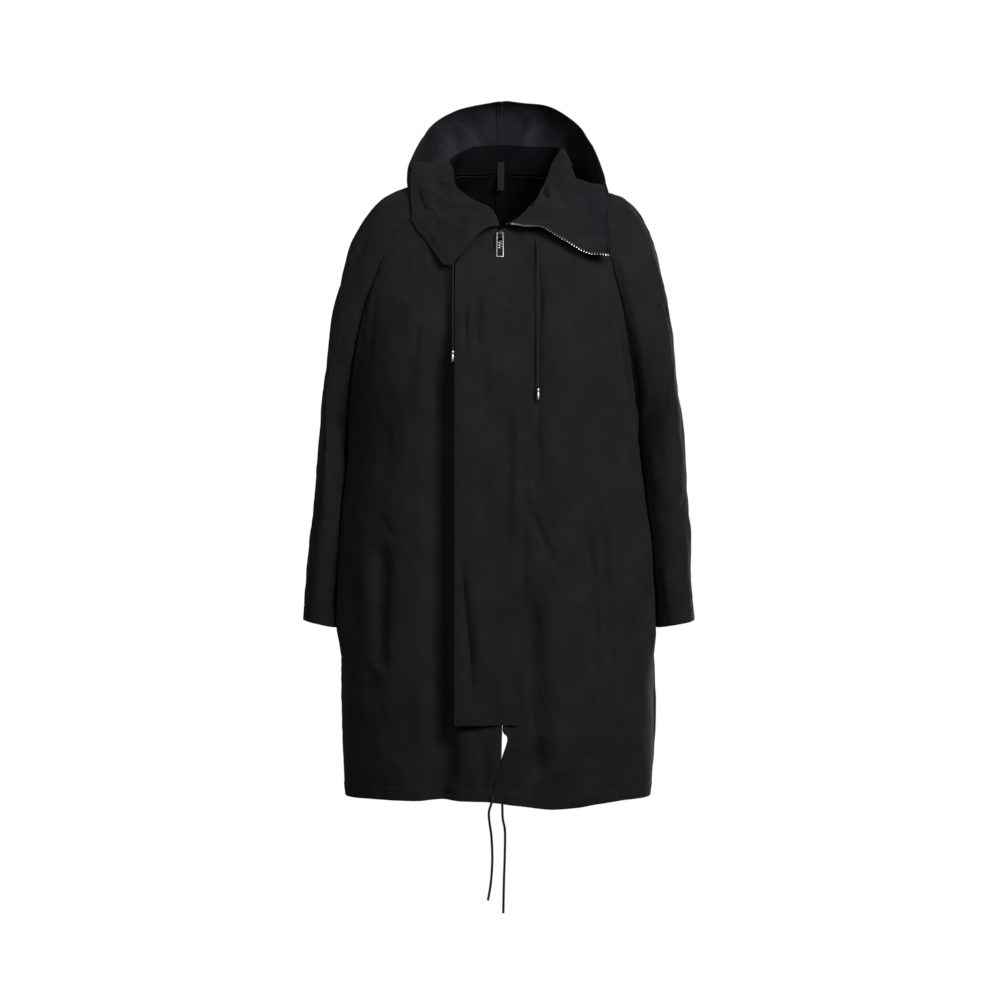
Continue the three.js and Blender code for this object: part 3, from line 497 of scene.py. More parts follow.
def normals(grid, outward):
    """The outward normal at each point of a grid."""
    across = np.empty_like(grid)
    across[:, 1:-1] = grid[:, 2:] - grid[:, :-2]
    across[:, 0] = grid[:, 1] - grid[:, 0]
    across[:, -1] = grid[:, -1] - grid[:, -2]
    down = np.empty_like(grid)
    down[1:-1] = grid[2:] - grid[:-2]
    down[0] = grid[1] - grid[0]
    down[-1] = grid[-1] - grid[-2]
    normal = np.cross(across, down)
    return normal / np.linalg.norm(normal, axis=-1, keepdims=True) * outward


def raised(grid, rise, outward):
    """The grid with each point moved outward by its rise."""
    return grid + normals(grid, outward) * rise[..., None]


def lengths(grid, axis):
    """How far along its row, or down its column, each point of a grid lies."""
    step = np.linalg.norm(np.diff(grid, axis=axis), axis=-1)
    start = np.zeros_like(np.take(step, [0], axis=axis))
    return np.concatenate([start, np.cumsum(step, axis=axis)], axis=axis)


def measured(grid):
    """How far each point lies from the first and last column and from the first and last row."""
    far, down = lengths(grid, 1), lengths(grid, 0)
    return far, far[:, -1:] - far, down, down[-1:] - down


# The large folds, as they also lie in the frame: a fold runs from x, z to endX, endZ.
FOLD_COLUMNS = "x z endX endZ width height"
FOLDS = {
    "front_right": table(
        FOLD_COLUMNS, (-96, -225, -98, -1060, 23, -29), (-122, -210, -116, -960, 15, 7),
        (-185, -575, -190, -790, 11, -8), (-214, -520, -212, -760, 14, 4), (-160, -300, -160, -620, 20, 4),
    ),
    "front_left": table(
        FOLD_COLUMNS, (61, -110, 58, -520, 8, -4), (92, -160, 96, -700, 26, 6), (46, -640, 62, -960, 13, -11),
        (80, -640, 92, -970, 18, 7), (142, -540, 156, -800, 9, -7), (170, -520, 178, -780, 8, -6),
    ),
    "back": table(
        FOLD_COLUMNS, (-150, -260, -165, -1050, 22, -10), (-70, -330, -78, -1050, 24, 9),
        (62, -300, 70, -1050, 22, 8), (128, -280, 146, -1050, 20, -11), (190, -480, 196, -1050, 16, 6),
    ),
    "none": table(FOLD_COLUMNS, (0, 0, 0, -1, 1, 0)),
}
# The smaller creases: points in x and z, widths on either side, and height.
CREASES = {
    "front_right": [
        ([(-176, -590), (-188, -606), (-193, -660), (-189, -768)], 5, 8, -3.2),
        ([(-191, -533), (-176, -556), (-158, -582)], 4, 7, -2.2),
        ([(-134, -230), (-132, -262), (-135, -290)], 4, 6, -2.6),
        ([(-190, -150), (-208, -240), (-222, -330), (-230, -400)], 7, 5, -2.6),
        ([(-203, -150), (-204, -200), (-200, -246)], 16, 18, 3.2),
        ([(-143, -176), (-141, -225), (-145, -274)], 9, 11, 2.4),
        ([(-166, -376), (-160, -400), (-164, -424)], 5, 7, -1.8),
        ([(-212, -770), (-208, -800), (-214, -842)], 8, 12, -3.0),
        ([(-150, -830), (-145, -880), (-148, -950)], 20, 26, -4.4),
        ([(-80, -886), (-79, -930), (-76, -975)], 8, 10, -4.0),
        ([(-228, -600), (-236, -680), (-236, -760)], 9, 12, -2.6),
        ([(-50, -880), (-42, -930), (-44, -985)], 12, 14, 3.0),
        ([(-190, -880), (-198, -940), (-196, -985)], 14, 16, 3.0),
        ([(-30, -884), (-22, -930), (-26, -980)], 7, 8, -2.4),
        ([(-172, -330), (-182, -420), (-178, -500)], 14, 18, -2.6),
        ([(-105, -300), (-109, -420), (-106, -540)], 6, 9, 2.2),
        ([(-120, -640), (-126, -720), (-122, -800)], 10, 14, -2.2),
    ],
    "front_left": [
        ([(67, -160), (66, -200), (62, -258)], 3.5, 5, -2.6),
        ([(168, -104), (184, -178), (200, -258), (214, -350), (218, -430)], 5, 8, -5.4),
        ([(150, -150), (168, -220), (182, -300)], 12, 14, 2.4),
        ([(41, -500), (52, -535), (72, -580), (100, -640)], 4, 7, -4.2),
        ([(36, -545), (39, -610), (38, -690)], 6, 8, -4.0),
        ([(130, -478), (134, -530), (141, -590), (152, -650)], 4, 7, -3.2),
        ([(165, -540), (172, -600), (168, -652), (156, -700)], 4, 6, -4.0),
        ([(155, -660), (153, -700), (156, -740)], 6, 7, -4.0),
        ([(154, -560), (158, -610), (156, -645)], 5, 6, 3.0),
        ([(158, -745), (162, -800), (160, -870)], 22, 26, -4.2),
        ([(96, -160), (94, -190), (97, -220)], 10, 12, 2.6),
        ([(170, -200), (174, -232), (176, -262)], 9, 10, 2.8),
        ([(107, -352), (108, -395), (105, -440)], 8, 9, 2.6),
        ([(88, -280), (87, -300), (90, -322)], 7, 8, 2.0),
        ([(214, -640), (222, -720), (220, -800)], 12, 14, 2.4),
        ([(110, -760), (116, -830), (112, -905)], 10, 12, -2.8),
        ([(48, -770), (58, -840), (64, -900)], 7, 10, 3.2),
        ([(196, -860), (204, -920), (200, -980)], 12, 16, -2.6),
        ([(30, -890), (34, -930), (32, -980)], 8, 9, 2.6),
        ([(186, -420), (196, -500), (194, -580)], 10, 14, -2.4),
    ],
    "back": [
        ([(-24, -60), (-58, -120), (-80, -200)], 12, 16, -2.6),
        ([(30, -60), (60, -126), (76, -214)], 11, 15, -2.4),
        ([(-176, -150), (-160, -220), (-150, -300)], 9, 12, -3.2),
        ([(180, -150), (162, -226), (156, -310)], 9, 13, -3.4),
        ([(-120, -420), (-112, -520), (-118, -640)], 9, 12, -3.4),
        ([(100, -400), (106, -500), (98, -600)], 9, 12, -3.0),
        ([(-40, -520), (-30, -620), (-36, -760)], 12, 14, -3.4),
        ([(26, -640), (34, -720), (30, -820)], 9, 12, 2.8),
        ([(-206, -600), (-210, -700), (-200, -800)], 8, 12, -3.4),
        ([(212, -560), (216, -660), (208, -740)], 8, 12, -3.4),
        ([(-100, -840), (-108, -900), (-104, -985)], 12, 14, -3.6),
        ([(100, -820), (96, -900), (104, -985)], 12, 14, -3.6),
        ([(-60, -250), (-48, -340), (-54, -440)], 14, 18, 2.6),
        ([(168, -440), (160, -520), (170, -620)], 8, 10, 2.6),
    ],
}


def folded(folds, p):
    """How far the large folds push points of the cloth outward."""
    rise = np.zeros(p.shape[:-1])
    for x, z, end_x, end_z, width, height in zip(*(folds[k] for k in FOLD_COLUMNS.split())):
        t = (z - p[..., 2]) / (z - end_z)
        aside = (p[..., 0] - (x + (end_x - x) * t)) / width
        rise += height * np.exp(-aside**2) * smooth(t, 0, 0.16) * (1 - smooth(t, 0.9, 1)) * ((t > 0) & (t < 1))
    return rise


def creased(creases, chart):
    """The rise of small creases on a chart of the cloth: each follows its line and dies out at both ends."""
    rise = np.zeros(chart.shape[:-1])
    for line, left, right, height in creases:
        line = np.array(line, float)
        total = np.linalg.norm(np.diff(line, axis=0), axis=1).sum()
        near = np.full(rise.shape, np.inf)
        along = np.zeros(rise.shape)
        turn = np.zeros(rise.shape)
        passed = 0.0
        for a, b in zip(line, line[1:]):
            step = b - a
            size = np.linalg.norm(step)
            t = np.clip(((chart - a) @ step) / size**2, 0, 1)
            gap = chart - a - t[..., None] * step
            far = np.linalg.norm(gap, axis=-1)
            closer = far < near
            near = np.where(closer, far, near)
            along = np.where(closer, passed + t * size, along)
            turn = np.where(closer, step[0] * gap[..., 1] - step[1] * gap[..., 0], turn)
            passed += size
        share = along / total
        width = np.where(turn > 0, left, right)
        rise += height * np.exp(-((near / width) ** 2)) * smooth(share, 0, 0.3) * (1 - smooth(share, 0.65, 1))
    return rise


def ripples(x, y, pitch_x, pitch_y, seed):
    """Uneven soft ripples between -1 and 1, of a wanted size each way."""
    draw = np.random.default_rng(seed).uniform(-1, 1, (64, 64))
    u, v = x / pitch_x + 20, y / pitch_y + 20
    i, j = np.floor(u).astype(int), np.floor(v).astype(int)
    s, t = u - i, v - j
    s, t = s * s * (3 - 2 * s), t * t * (3 - 2 * t)
    at = lambda a, b: draw[a % 64, b % 64]
    top = at(i, j) * (1 - s) + at(i + 1, j) * s
    low = at(i, j + 1) * (1 - s) + at(i + 1, j + 1) * s
    return top * (1 - t) + low * t


def seam_relief(far, along, seed):
    """The cloth beside a seam: rolled in at the edge, held down by the stitches, puckered between."""
    roll = -1.3 * np.exp(-((far / 1.3) ** 2))
    held = -0.35 * np.exp(-(((far - 6.0) / 0.8) ** 2))
    pucker = 0.5 * ripples(along, far, 7, 40, seed) * np.exp(-(((far - 3.5) / 3.2) ** 2))
    soft = 0.7 * ripples(along, far, 16, 60, seed + 1) * np.exp(-((far / 16) ** 2)) * smooth(far, 0.5, 4)
    return roll + held + pucker + soft


def sunk(far, z, word):
    """The valley that the front armhole seam lies in."""
    held = smooth(-z, *SINK["from"]) * (1 - smooth(-z, *SINK["to"]))
    return -SINK[word] * np.exp(-((far / SINK["width"]) ** 2)) * held


def hem_relief(far, along, seed):
    """A casing: two layers up to its stitched edge, gathered a little over the cord inside."""
    double = 0.7 * (1 - smooth(far, HEM["casing"] - 0.6, HEM["casing"] + 0.6))
    held = -0.6 * np.exp(-(((far - HEM["casing"]) / 1.1) ** 2))
    gather = 1.5 * ripples(along, far, 15, 60, seed) * np.exp(-(((far - 11) / 10) ** 2))
    above = 1.1 * ripples(along, far, 21, 80, seed + 1) * np.exp(-((far / 46) ** 2))
    return double + held + gather + above


def even_rows(grid, middle):
    """A grid whose columns are packed beside both edges and even between them."""
    dense = lengths(grid, 1)
    near = np.array(NEAR_SEAM)
    out = []
    for row, far in zip(grid, dense):
        inner = np.linspace(near[-1], far[-1] - near[-1], middle + 2)[1:-1]
        at = np.concatenate([near, inner, far[-1] - near[::-1]])
        out.append(np.stack([np.interp(at, far, row[:, k]) for k in range(3)], 1))
    return np.array(out)


def cut_panel(form, levels, middle, folds, outward, samples=180):
    """The outer face of a panel with its large folds, a row for each level."""
    down = levels[:, None]
    step, inset = 0.02, []
    for end, beside in ((0.0, step), (1.0, 1.0 - step)):
        gap = form(down, np.array([[end]])) - form(down, np.array([[beside]]))
        inset.append(CLOTH["seam"] / 2 * step / np.linalg.norm(gap, axis=-1))
    first, last = inset
    across = first + (1 - last - first) * np.linspace(0, 1, samples)[None]
    grid = form(down, across)
    return even_rows(raised(grid, folded(folds, grid), outward), middle)


def shell(name, grid, outward, looks, thick=CLOTH["thick"]):
    """A closed wall of cloth whose outer face is the grid."""
    rows, columns = grid.shape[:2]
    face = normals(grid, outward)
    inner = grid - face * thick
    points = np.concatenate([grid.reshape(-1, 3), inner.reshape(-1, 3)])
    chart = np.stack([lengths(grid, 1), -lengths(grid, 0)], -1).reshape(-1, 2)
    at = np.arange(rows * columns).reshape(rows, columns)
    quads = np.stack([at[:-1, :-1], at[:-1, 1:], at[1:, 1:], at[1:, :-1]], -1).reshape(-1, 4)
    if outward < 0:
        quads = quads[:, ::-1]
    edge = np.concatenate([at[0, :], at[1:, -1], at[-1, -2::-1], at[-2:0:-1, 0]])
    ahead = np.roll(edge, -1)
    rim = np.stack([ahead, edge, edge + rows * columns, ahead + rows * columns], -1)
    if outward < 0:
        rim = rim[:, ::-1]
    faces = np.concatenate([quads, quads[:, ::-1] + rows * columns, rim])
    look = np.concatenate([np.zeros(len(quads)), np.full(len(quads), len(looks) - 1), np.zeros(len(rim))])
    made = piece(name, points, faces, looks, np.concatenate([chart, chart]), look)
    return made, face, inner


def stitches(name, lines):
    """Lines of topstitching: each stitch is a short thread that dips into the cloth at both ends."""
    ring = np.arange(4) * math.pi / 2
    ends = [(-0.5, 0.25, -0.6), (-0.3, 0.9, 0), (0.3, 0.9, 0), (0.5, 0.25, -0.6)]
    thread = np.array([
        (x, r * math.cos(a) / 2, r * math.sin(a) / 2 + drop) for x, r, drop in ends for a in ring
    ])
    thread *= (STITCH["length"], STITCH["thick"], STITCH["thick"])
    faces = [face[::-1] for face in tube_faces(len(ends), len(ring))]
    points, all_faces = [], []
    for line, normal in lines:
        both, _ = spaced(np.concatenate([line, normal], 1), STITCH["pitch"])
        centre, up = both[:, :3], both[:, 3:6]
        ahead = np.gradient(centre, axis=0)
        ahead /= np.linalg.norm(ahead, axis=1, keepdims=True)
        up = up / np.linalg.norm(up, axis=1, keepdims=True)
        side = np.cross(up, ahead)
        for c, a, s, u in zip(centre, ahead, side, up):
            base = len(points) * len(thread)
            points.append(c + thread[:, :1] * a + thread[:, 1:2] * s + (thread[:, 2:] + 0.15) * u)
            all_faces += [tuple(v + base for v in face) for face in faces]
    return piece(name, np.concatenate(points), all_faces, [THREAD_LOOK], crease=180)


coat = {}


def sewn(name, grid, outward, looks, seams, inside=None):
    """A cloth piece of the coat: its shell, topstitched along seams and on one line inside."""
    cloth, face, inner = shell(f"{name}_cloth", grid, outward, looks)
    lines = [(grid[at], face[at]) for at in seams]
    if inside is not None:
        lines.append((inner[inside], -face[inside]))
    sewing = stitches(f"{name}_stitching", lines)
    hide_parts(name)
    coat[name] = {"grid": grid, "face": face, "inner": inner}
    return cloth, sewing


def hung_levels(length, rows):
    """The levels of a panel's rows: even above and below the underarm, and close in its hem."""
    above = np.linspace(0, UNDERARM, UNDERARM_ROW + 1)
    below = np.linspace(UNDERARM, 1 - HEM["steps"][0] / length, rows)[1:]
    return np.concatenate([above, below, 1 - np.array(HEM["steps"][1:]) / length])


def calmed(grid, row):
    """A panel whose form changes at a row, made to change gently there, but for its two edges."""
    far, to_side, _, _ = measured(grid)
    inside = (smooth(far, 0, 40) * smooth(to_side, 0, 30))[..., None]
    level = np.arange(len(grid))[:, None, None]
    for _ in range(3):
        pad = np.pad(grid, ((7, 7), (0, 0), (0, 0)), mode="edge")
        calm = sum(pad[k : k + len(grid)] for k in range(15)) / 15
        grid = grid + (calm - grid) * inside * np.exp(-(((level - row) / 16) ** 2))
    return grid


# Ripples of three sizes: how high, wide and tall they are, and how they lean.
BODY_RIPPLES = ((4.2, 52, 210, 0.06), (2.4, 27, 88, -0.12), (0.9, 12, 34, 0.2))
body_levels = hung_levels(930, 120)
for side, word in ((1, "left"), (-1, "right")):
    for half, form, folds, outward, seed in (
        ("front", front_form, f"front_{word}", -side, 10 + side),
        ("back", back_form, "back", side, 30 + side),
    ):
        panel = lambda down, across: form(side, down, across)
        grid = calmed(cut_panel(panel, body_levels, 78, FOLDS[folds], outward), UNDERARM_ROW)
        far, to_side, down, to_hem = measured(grid)
        x, z = grid[..., 0], grid[..., 2]
        rise = creased(CREASES[folds], grid[..., [0, 2]])
        for height, wide, tall, lean in BODY_RIPPLES:
            rise += height * ripples(x + lean * z, z, wide, tall, seed + tall)
        rise *= smooth(far, 0, 14) * smooth(to_side, 0, 14)
        beside = smooth(-z, *SWELL["from"]) * (1 - smooth(-z, *SWELL["to"]))
        rise += SWELL["height"] * np.exp(-(((to_side - SWELL["from_seam"]) / SWELL["width"]) ** 2)) * beside
        rise += seam_relief(far, down, seed + 4) + seam_relief(to_side, down, seed + 6)
        rise += hem_relief(to_hem, x, seed + 8)
        if half == "front":
            rise += sunk(to_side, z, word)
        grid = raised(grid, rise, outward)
        seams = (np.s_[:, STITCH_AT], np.s_[:, -1 - STITCH_AT], HEM_STITCH)
        # The inner face carries painted shade, darker than the shell.
        cloth, sewing = sewn(f"{half}_{word}", grid, outward, [SHELL_LOOK, INSIDE_PAINTED_SHADE_LOOK], seams)

# Sleeves: each in two halves, joined over the shoulder and under the arm, hemmed at the wrist and
# set into the armhole with a topstitched seam.
SHOULDER = table(
    "down left right y z bulge frontAim backAim hold",
    (0, 93, 93, 8, 25, 26, 222, 138, 24), (0.05, 125, 125, 12, 16, 44, 215, 145, 34),
    (0.1, 161, 159, 12, 3, 56, 210, 150, 38), (0.16, 204, 191, 12, -12, 62, 206, 152, 44),
    (0.22, 231, 215, 12, -38, 68, 200, 158, 46), (0.28, 254, 242, 12, -85, 80, 188, 170, 48),
    (0.34, 269, 259, 12, -155, 92, 168, 190, 52), (0.4, 285, 280, 12, -260, 106, 140, 220, 60),
    (0.46, 306, 301, 14, -420, 112, 104, 256, 100),
)
ARM = table(
    "down left right y z leftIn rightIn inY inZ half",
    (0.46, 306, 301, 14, -420, 232, 252, 22, -432, 84), (0.52, 307, 305, 15, -480, 238, 256, 24, -484, 81),
    (0.64, 312, 312, 17, -560, 245, 260, 25, -566, 75), (0.84, 318, 320, 20, -655, 253, 264, 24, -662, 67),
    (1, 322, 325, 22, -709, 257, 266, 24, -722, 62),
)
# Creases of a sleeve half: points as distance from the outer line, and z.
SLEEVE_CREASES = {
    "front_left": [
        ([(40, -150), (44, -185), (43, -226)], 4, 6, -2.8),
        ([(150, -612), (152, -650), (150, -702)], 4, 6, -4.5),
        ([(70, -420), (96, -455), (140, -470)], 6, 9, -3.0),
        ([(30, -500), (66, -530), (120, -534)], 6, 9, -2.6),
        ([(20, -330), (30, -420), (24, -520)], 12, 14, 2.2),
        ([(100, -260), (104, -330), (96, -400)], 9, 12, -2.4),
        ([(60, -590), (70, -650), (66, -704)], 9, 12, 2.2),
    ],
    "front_right": [
        ([(34, -170), (38, -205), (36, -240)], 4, 6, -2.8),
        ([(60, -404), (92, -440), (142, -452)], 6, 9, -3.0),
        ([(24, -505), (64, -540), (124, -548)], 6, 9, -2.6),
        ([(24, -300), (32, -380), (26, -470)], 12, 14, 2.2),
        ([(104, -270), (100, -350), (108, -420)], 9, 12, -2.6),
        ([(120, -590), (126, -650), (122, -704)], 7, 10, -3.0),
    ],
    "back_left": [
        ([(40, -180), (52, -260), (48, -340)], 8, 12, -2.8),
        ([(60, -400), (100, -430), (150, -440)], 7, 10, -3.4),
        ([(40, -470), (80, -490), (140, -496)], 6, 9, -2.8),
        ([(50, -560), (90, -570), (150, -590)], 6, 9, -2.4),
        ([(90, -600), (94, -650), (90, -700)], 9, 12, 2.4),
    ],
    "back_right": [
        ([(44, -170), (50, -250), (46, -330)], 8, 12, -2.8),
        ([(54, -410), (98, -440), (150, -446)], 7, 10, -3.4),
        ([(36, -480), (84, -506), (144, -506)], 6, 9, -2.8),
        ([(44, -570), (88, -586), (150, -600)], 6, 9, -2.4),
        ([(86, -610), (92, -656), (88, -702)], 9, 12, 2.4),
    ],
}
SLEEVE_RIPPLES = ((3.4, 44, 110, 0.2), (1.9, 24, 52, -0.3), (0.8, 12, 24, 0.3))


def sleeve_form(side, face, down, across):
    """Half a sleeve: over the shoulder into the raglan seam, then a tube to the wrist."""
    word = "left" if side > 0 else "right"
    low = np.maximum(down, UNDERARM)
    out = xyz(side * read(ARM, word, low), read(ARM, "y", low), read(ARM, "z", low))
    inward = xyz(side * read(ARM, f"{word}In", low), read(ARM, "inY", low), read(ARM, "inZ", low))
    lean = xyz(0, read(ARM, "half", low) * face * 4 / 3, 0)
    arm = cubic(out, out + lean, inward + lean, inward, across)
    high = np.minimum(down, UNDERARM)
    out = xyz(side * read(SHOULDER, word, high), read(SHOULDER, "y", high), read(SHOULDER, "z", high))
    aim = np.radians(read(SHOULDER, "frontAim" if face < 0 else "backAim", high))
    hold = read(SHOULDER, "hold", high)
    arrive = xyz(side * np.cos(aim) * hold, np.sin(aim) * hold, 0)
    seam = body_edge(side, face, high)
    cap = cubic(out, out + xyz(0, face * read(SHOULDER, "bulge", high), 0), seam - arrive, seam, across)
    return np.where((down > UNDERARM)[..., None], arm, cap)


sleeve_levels = hung_levels(337, 64)
for side, word in ((1, "left"), (-1, "right")):
    for turned, half in ((-1, "front"), (1, "back")):
        outward = -side * turned
        panel = lambda down, across: sleeve_form(side, turned, down, across)
        grid = calmed(cut_panel(panel, sleeve_levels, 34, FOLDS["none"], outward, 120), UNDERARM_ROW)
        far, to_seam, down, to_hem = measured(grid)
        z = grid[..., 2]
        seed = 50 + 7 * side + turned
        rise = creased(SLEEVE_CREASES[f"{half}_{word}"], np.stack([far, z], -1))
        for height, wide, tall, lean in SLEEVE_RIPPLES:
            rise += height * ripples(far + lean * z, z, wide, tall, seed + tall)
        rise *= smooth(far, 0, 14) * smooth(to_seam, 0, 14)
        rise += seam_relief(far, down, seed + 4) + seam_relief(to_seam, down, seed + 6)
        rise += 0.6 * hem_relief(to_hem, far, seed + 8)
        if half == "front":
            rise += sunk(to_seam, z, word)
        grid = raised(grid, rise, outward)
        seams = (np.s_[:, STITCH_AT], np.s_[: UNDERARM_ROW + 1, -1 - STITCH_AT], HEM_STITCH)
        # The inner face carries painted shade, darker than the shell.
        cloth, sewing = sewn(f"sleeve_{word}_{half}", grid, outward, [SHELL_LOOK, INSIDE_PAINTED_SHADE_LOOK], seams)

# Hood: two halves joined over the crown by a felled seam, lined with a bluer cloth. It is thrown
# open behind the neck, so that the lining shows above the collar; its rim is turned and stitched.
HOOD = {"outside": 2.5, "gap": 3.0}
HOOD_COLUMNS = "nx ny nz bx by bz rx ry rz out swing sink"
HOOD_LEFT = table(
    HOOD_COLUMNS,
    (0, 100, 40, 0, 182, -130, 2, 130, 168, 50, 112, 18),
    (46, 92, 37, 64, 174, -118, 78, 130, 161, 46, 92, 18),
    (76, 69, 34, 114, 152, -86, 127, 105, 128, 44, 66, 20),
    (92, 42, 31, 150, 132, -44, 150, 75, 92, 40, 36, 20),
    (96, 8, 29, 163, 80, -1, 165, 40, 55, 34, 18, 14), (96, -27, 5, 169, 8, 8, 174, 3, 17, 30, 4, 5),
    (83, -57, -20, 172, -41, -17, 177, -42, -13, 26, 3, 3),
    (68, -76, -36, 168, -88, -68, 174, -88, -62, 22, 3, 3),
    (56, -88, -46, 170, -114, -100, 177, -116, -96, 20, 3, 3),
)
HOOD_RIGHT = table(
    HOOD_COLUMNS,
    (0, 100, 40, 0, 182, -130, -2, 130, 168, 50, 112, 18),
    (46, 92, 37, 62, 174, -118, 68, 130, 154, 46, 92, 18),
    (76, 69, 34, 108, 152, -86, 109, 105, 128, 44, 66, 20),
    (92, 42, 31, 142, 132, -42, 133, 75, 94, 40, 36, 20),
    (96, 8, 29, 152, 80, 2, 148, 40, 58, 34, 18, 14), (96, -27, 5, 136, 8, 14, 143, 3, 18, 22, 2, 2),
    (83, -57, -20, 120, -41, -4, 126, -42, -6, 16, 0, 0),
    (68, -76, -36, 106, -74, -34, 112, -77, -37, 12, 0, 0),
    (56, -88, -46, 88, -98, -64, 94, -101, -67, 10, 0, 0),
)
# Creases of the hood: points as distance from the crown seam and distance from the rim.
HOOD_CREASES = {
    "left": [
        ([(40, 4), (52, 60), (46, 130)], 9, 13, -3.6), ([(96, 2), (104, 50), (92, 110)], 8, 12, -3.2),
        ([(150, 4), (158, 44), (150, 90)], 8, 12, -3.0), ([(20, 150), (60, 176), (110, 170)], 10, 14, -3.0),
        ([(200, 6), (210, 40), (206, 76)], 7, 10, -2.4),
    ],
    "right": [
        ([(34, 2), (30, 64), (40, 126)], 9, 13, -3.4), ([(84, 4), (90, 56), (80, 120)], 8, 12, -3.6),
        ([(134, 4), (140, 46), (132, 84)], 8, 12, -2.8), ([(24, 160), (70, 168), (104, 190)], 10, 14, -3.0),
    ],
}


class Covered:
    """Faces that pieces laid over them keep clear of."""

    def __init__(self):
        self.points = []
        self.normals = []

    def cover(self, grid, normal):
        self.points.append(grid.reshape(-1, 3))
        self.normals.append(normal.reshape(-1, 3))
        points = np.concatenate(self.points)
        self.tree = kdtree.KDTree(len(points))
        for i, p in enumerate(points):
            self.tree.insert(p, i)
        self.tree.balance()
        self.facing = np.concatenate(self.normals)

    def clear(self, grid, gap, turns=3):
        """The grid with each point that lies too low moved out of the nearest face."""
        out = grid.reshape(-1, 3).copy()
        for i, p in enumerate(out):
            for _ in range(turns):
                near, k, _far = self.tree.find(p)
                stands = float(np.dot(p - np.array(near), self.facing[k]))
                if stands >= gap:
                    break
                p = p + self.facing[k] * (gap - stands)
            out[i] = p
        return out.reshape(grid.shape)


yoke = slice(0, 72, 2)
under = Covered()
for name in ("front_left", "front_right", "back_left", "back_right"):
    under.cover(coat[name]["grid"][yoke, ::2], coat[name]["face"][yoke, ::2])
for name in coat:
    if name.startswith("sleeve"):
        under.cover(coat[name]["grid"][yoke], coat[name]["face"][yoke])


def hood_form(side, rows, along, t):
    """Half the hood: from the neck out and down into its pouch, then up to its rim."""
    at = lambda name: read(rows, name, along, None)[..., None]
    neck, bottom, rim = (
        xyz(side * at(f"{k}x")[..., 0], at(f"{k}y")[..., 0], at(f"{k}z")[..., 0]) for k in "nbr"
    )
    away = (bottom - neck) * (1, 1, 0)
    away /= np.linalg.norm(away, axis=-1, keepdims=True)
    neck = neck + away * HOOD["outside"]
    fall = np.linalg.norm(bottom - neck, axis=-1, keepdims=True)
    rise = np.linalg.norm(rim - bottom, axis=-1, keepdims=True)
    swing = rim + away * at("swing") - at("sink") * np.array([0, 0, 1])
    low = cubic(neck, neck + away * at("out"), bottom - away * fall * 0.1, bottom, np.minimum(t * 2, 1))
    high = cubic(bottom, bottom + away * rise * 0.12, swing, rim, np.maximum(t * 2 - 1, 0))
    return np.where((t < 0.5)[..., None], low, high)


def across_rows(grid):
    """The grid with its columns as rows."""
    return np.swapaxes(grid, 0, 1)


for side, word, rows in ((1, "left", HOOD_LEFT), (-1, "right", HOOD_RIGHT)):
    along = np.linspace(0, len(rows["nx"]) - 1, 150)[None]
    t = np.linspace(0, 1, 110)[:, None]
    grid = hood_form(side, rows, along, t)
    grid[:, 0, 0] = side * CLOTH["seam"] / 2 + rows["rx"][0] * side * t[:, 0]
    grid = even_rows(grid, 66)
    grid = across_rows(even_rows(across_rows(grid), 56))
    seam = grid[:, 0].copy()
    grid = under.clear(grid, HOOD["gap"])
    grid[:, 0] = seam
    far, _, down, to_rim = measured(grid)
    seed = 90 + side
    rise = creased(HOOD_CREASES[word], np.stack([far, to_rim], -1))
    rise += 1.6 * ripples(far, to_rim, 44, 70, seed) + 0.6 * ripples(far, to_rim, 15, 24, seed + 2)
    rise *= smooth(far, 0, 16) * smooth(down, 10, 60)
    rise += seam_relief(far, down, seed + 4) + 0.5 * seam_relief(to_rim, far, seed + 6) * smooth(to_rim, 0, 2)
    rim = -1 - STITCH_AT
    # The lining carries painted shade away from the crown.
    looks, seams = [SHELL_LOOK, LINING_LOOK], (np.s_[:, STITCH_AT], rim)
    cloth, sewing = sewn(f"hood_{word}", raised(grid, rise, -side), -side, looks, seams, inside=rim)
for word in ("left", "right"):
    part = coat[f"hood_{word}"]
    under.cover(part["inner"][::2, ::2], -part["face"][::2, ::2])

# Seam allowances: inside, the raw edges of each seam are turned together and sewn down flat, a
# band 12 mm wide that keeps the seam closed; they stop where the vent and the cuffs begin.
BAND = {"lift": 0.5, "thick": 0.8}
SIDES = ("left", "right")
HALVES = ("front", "back")
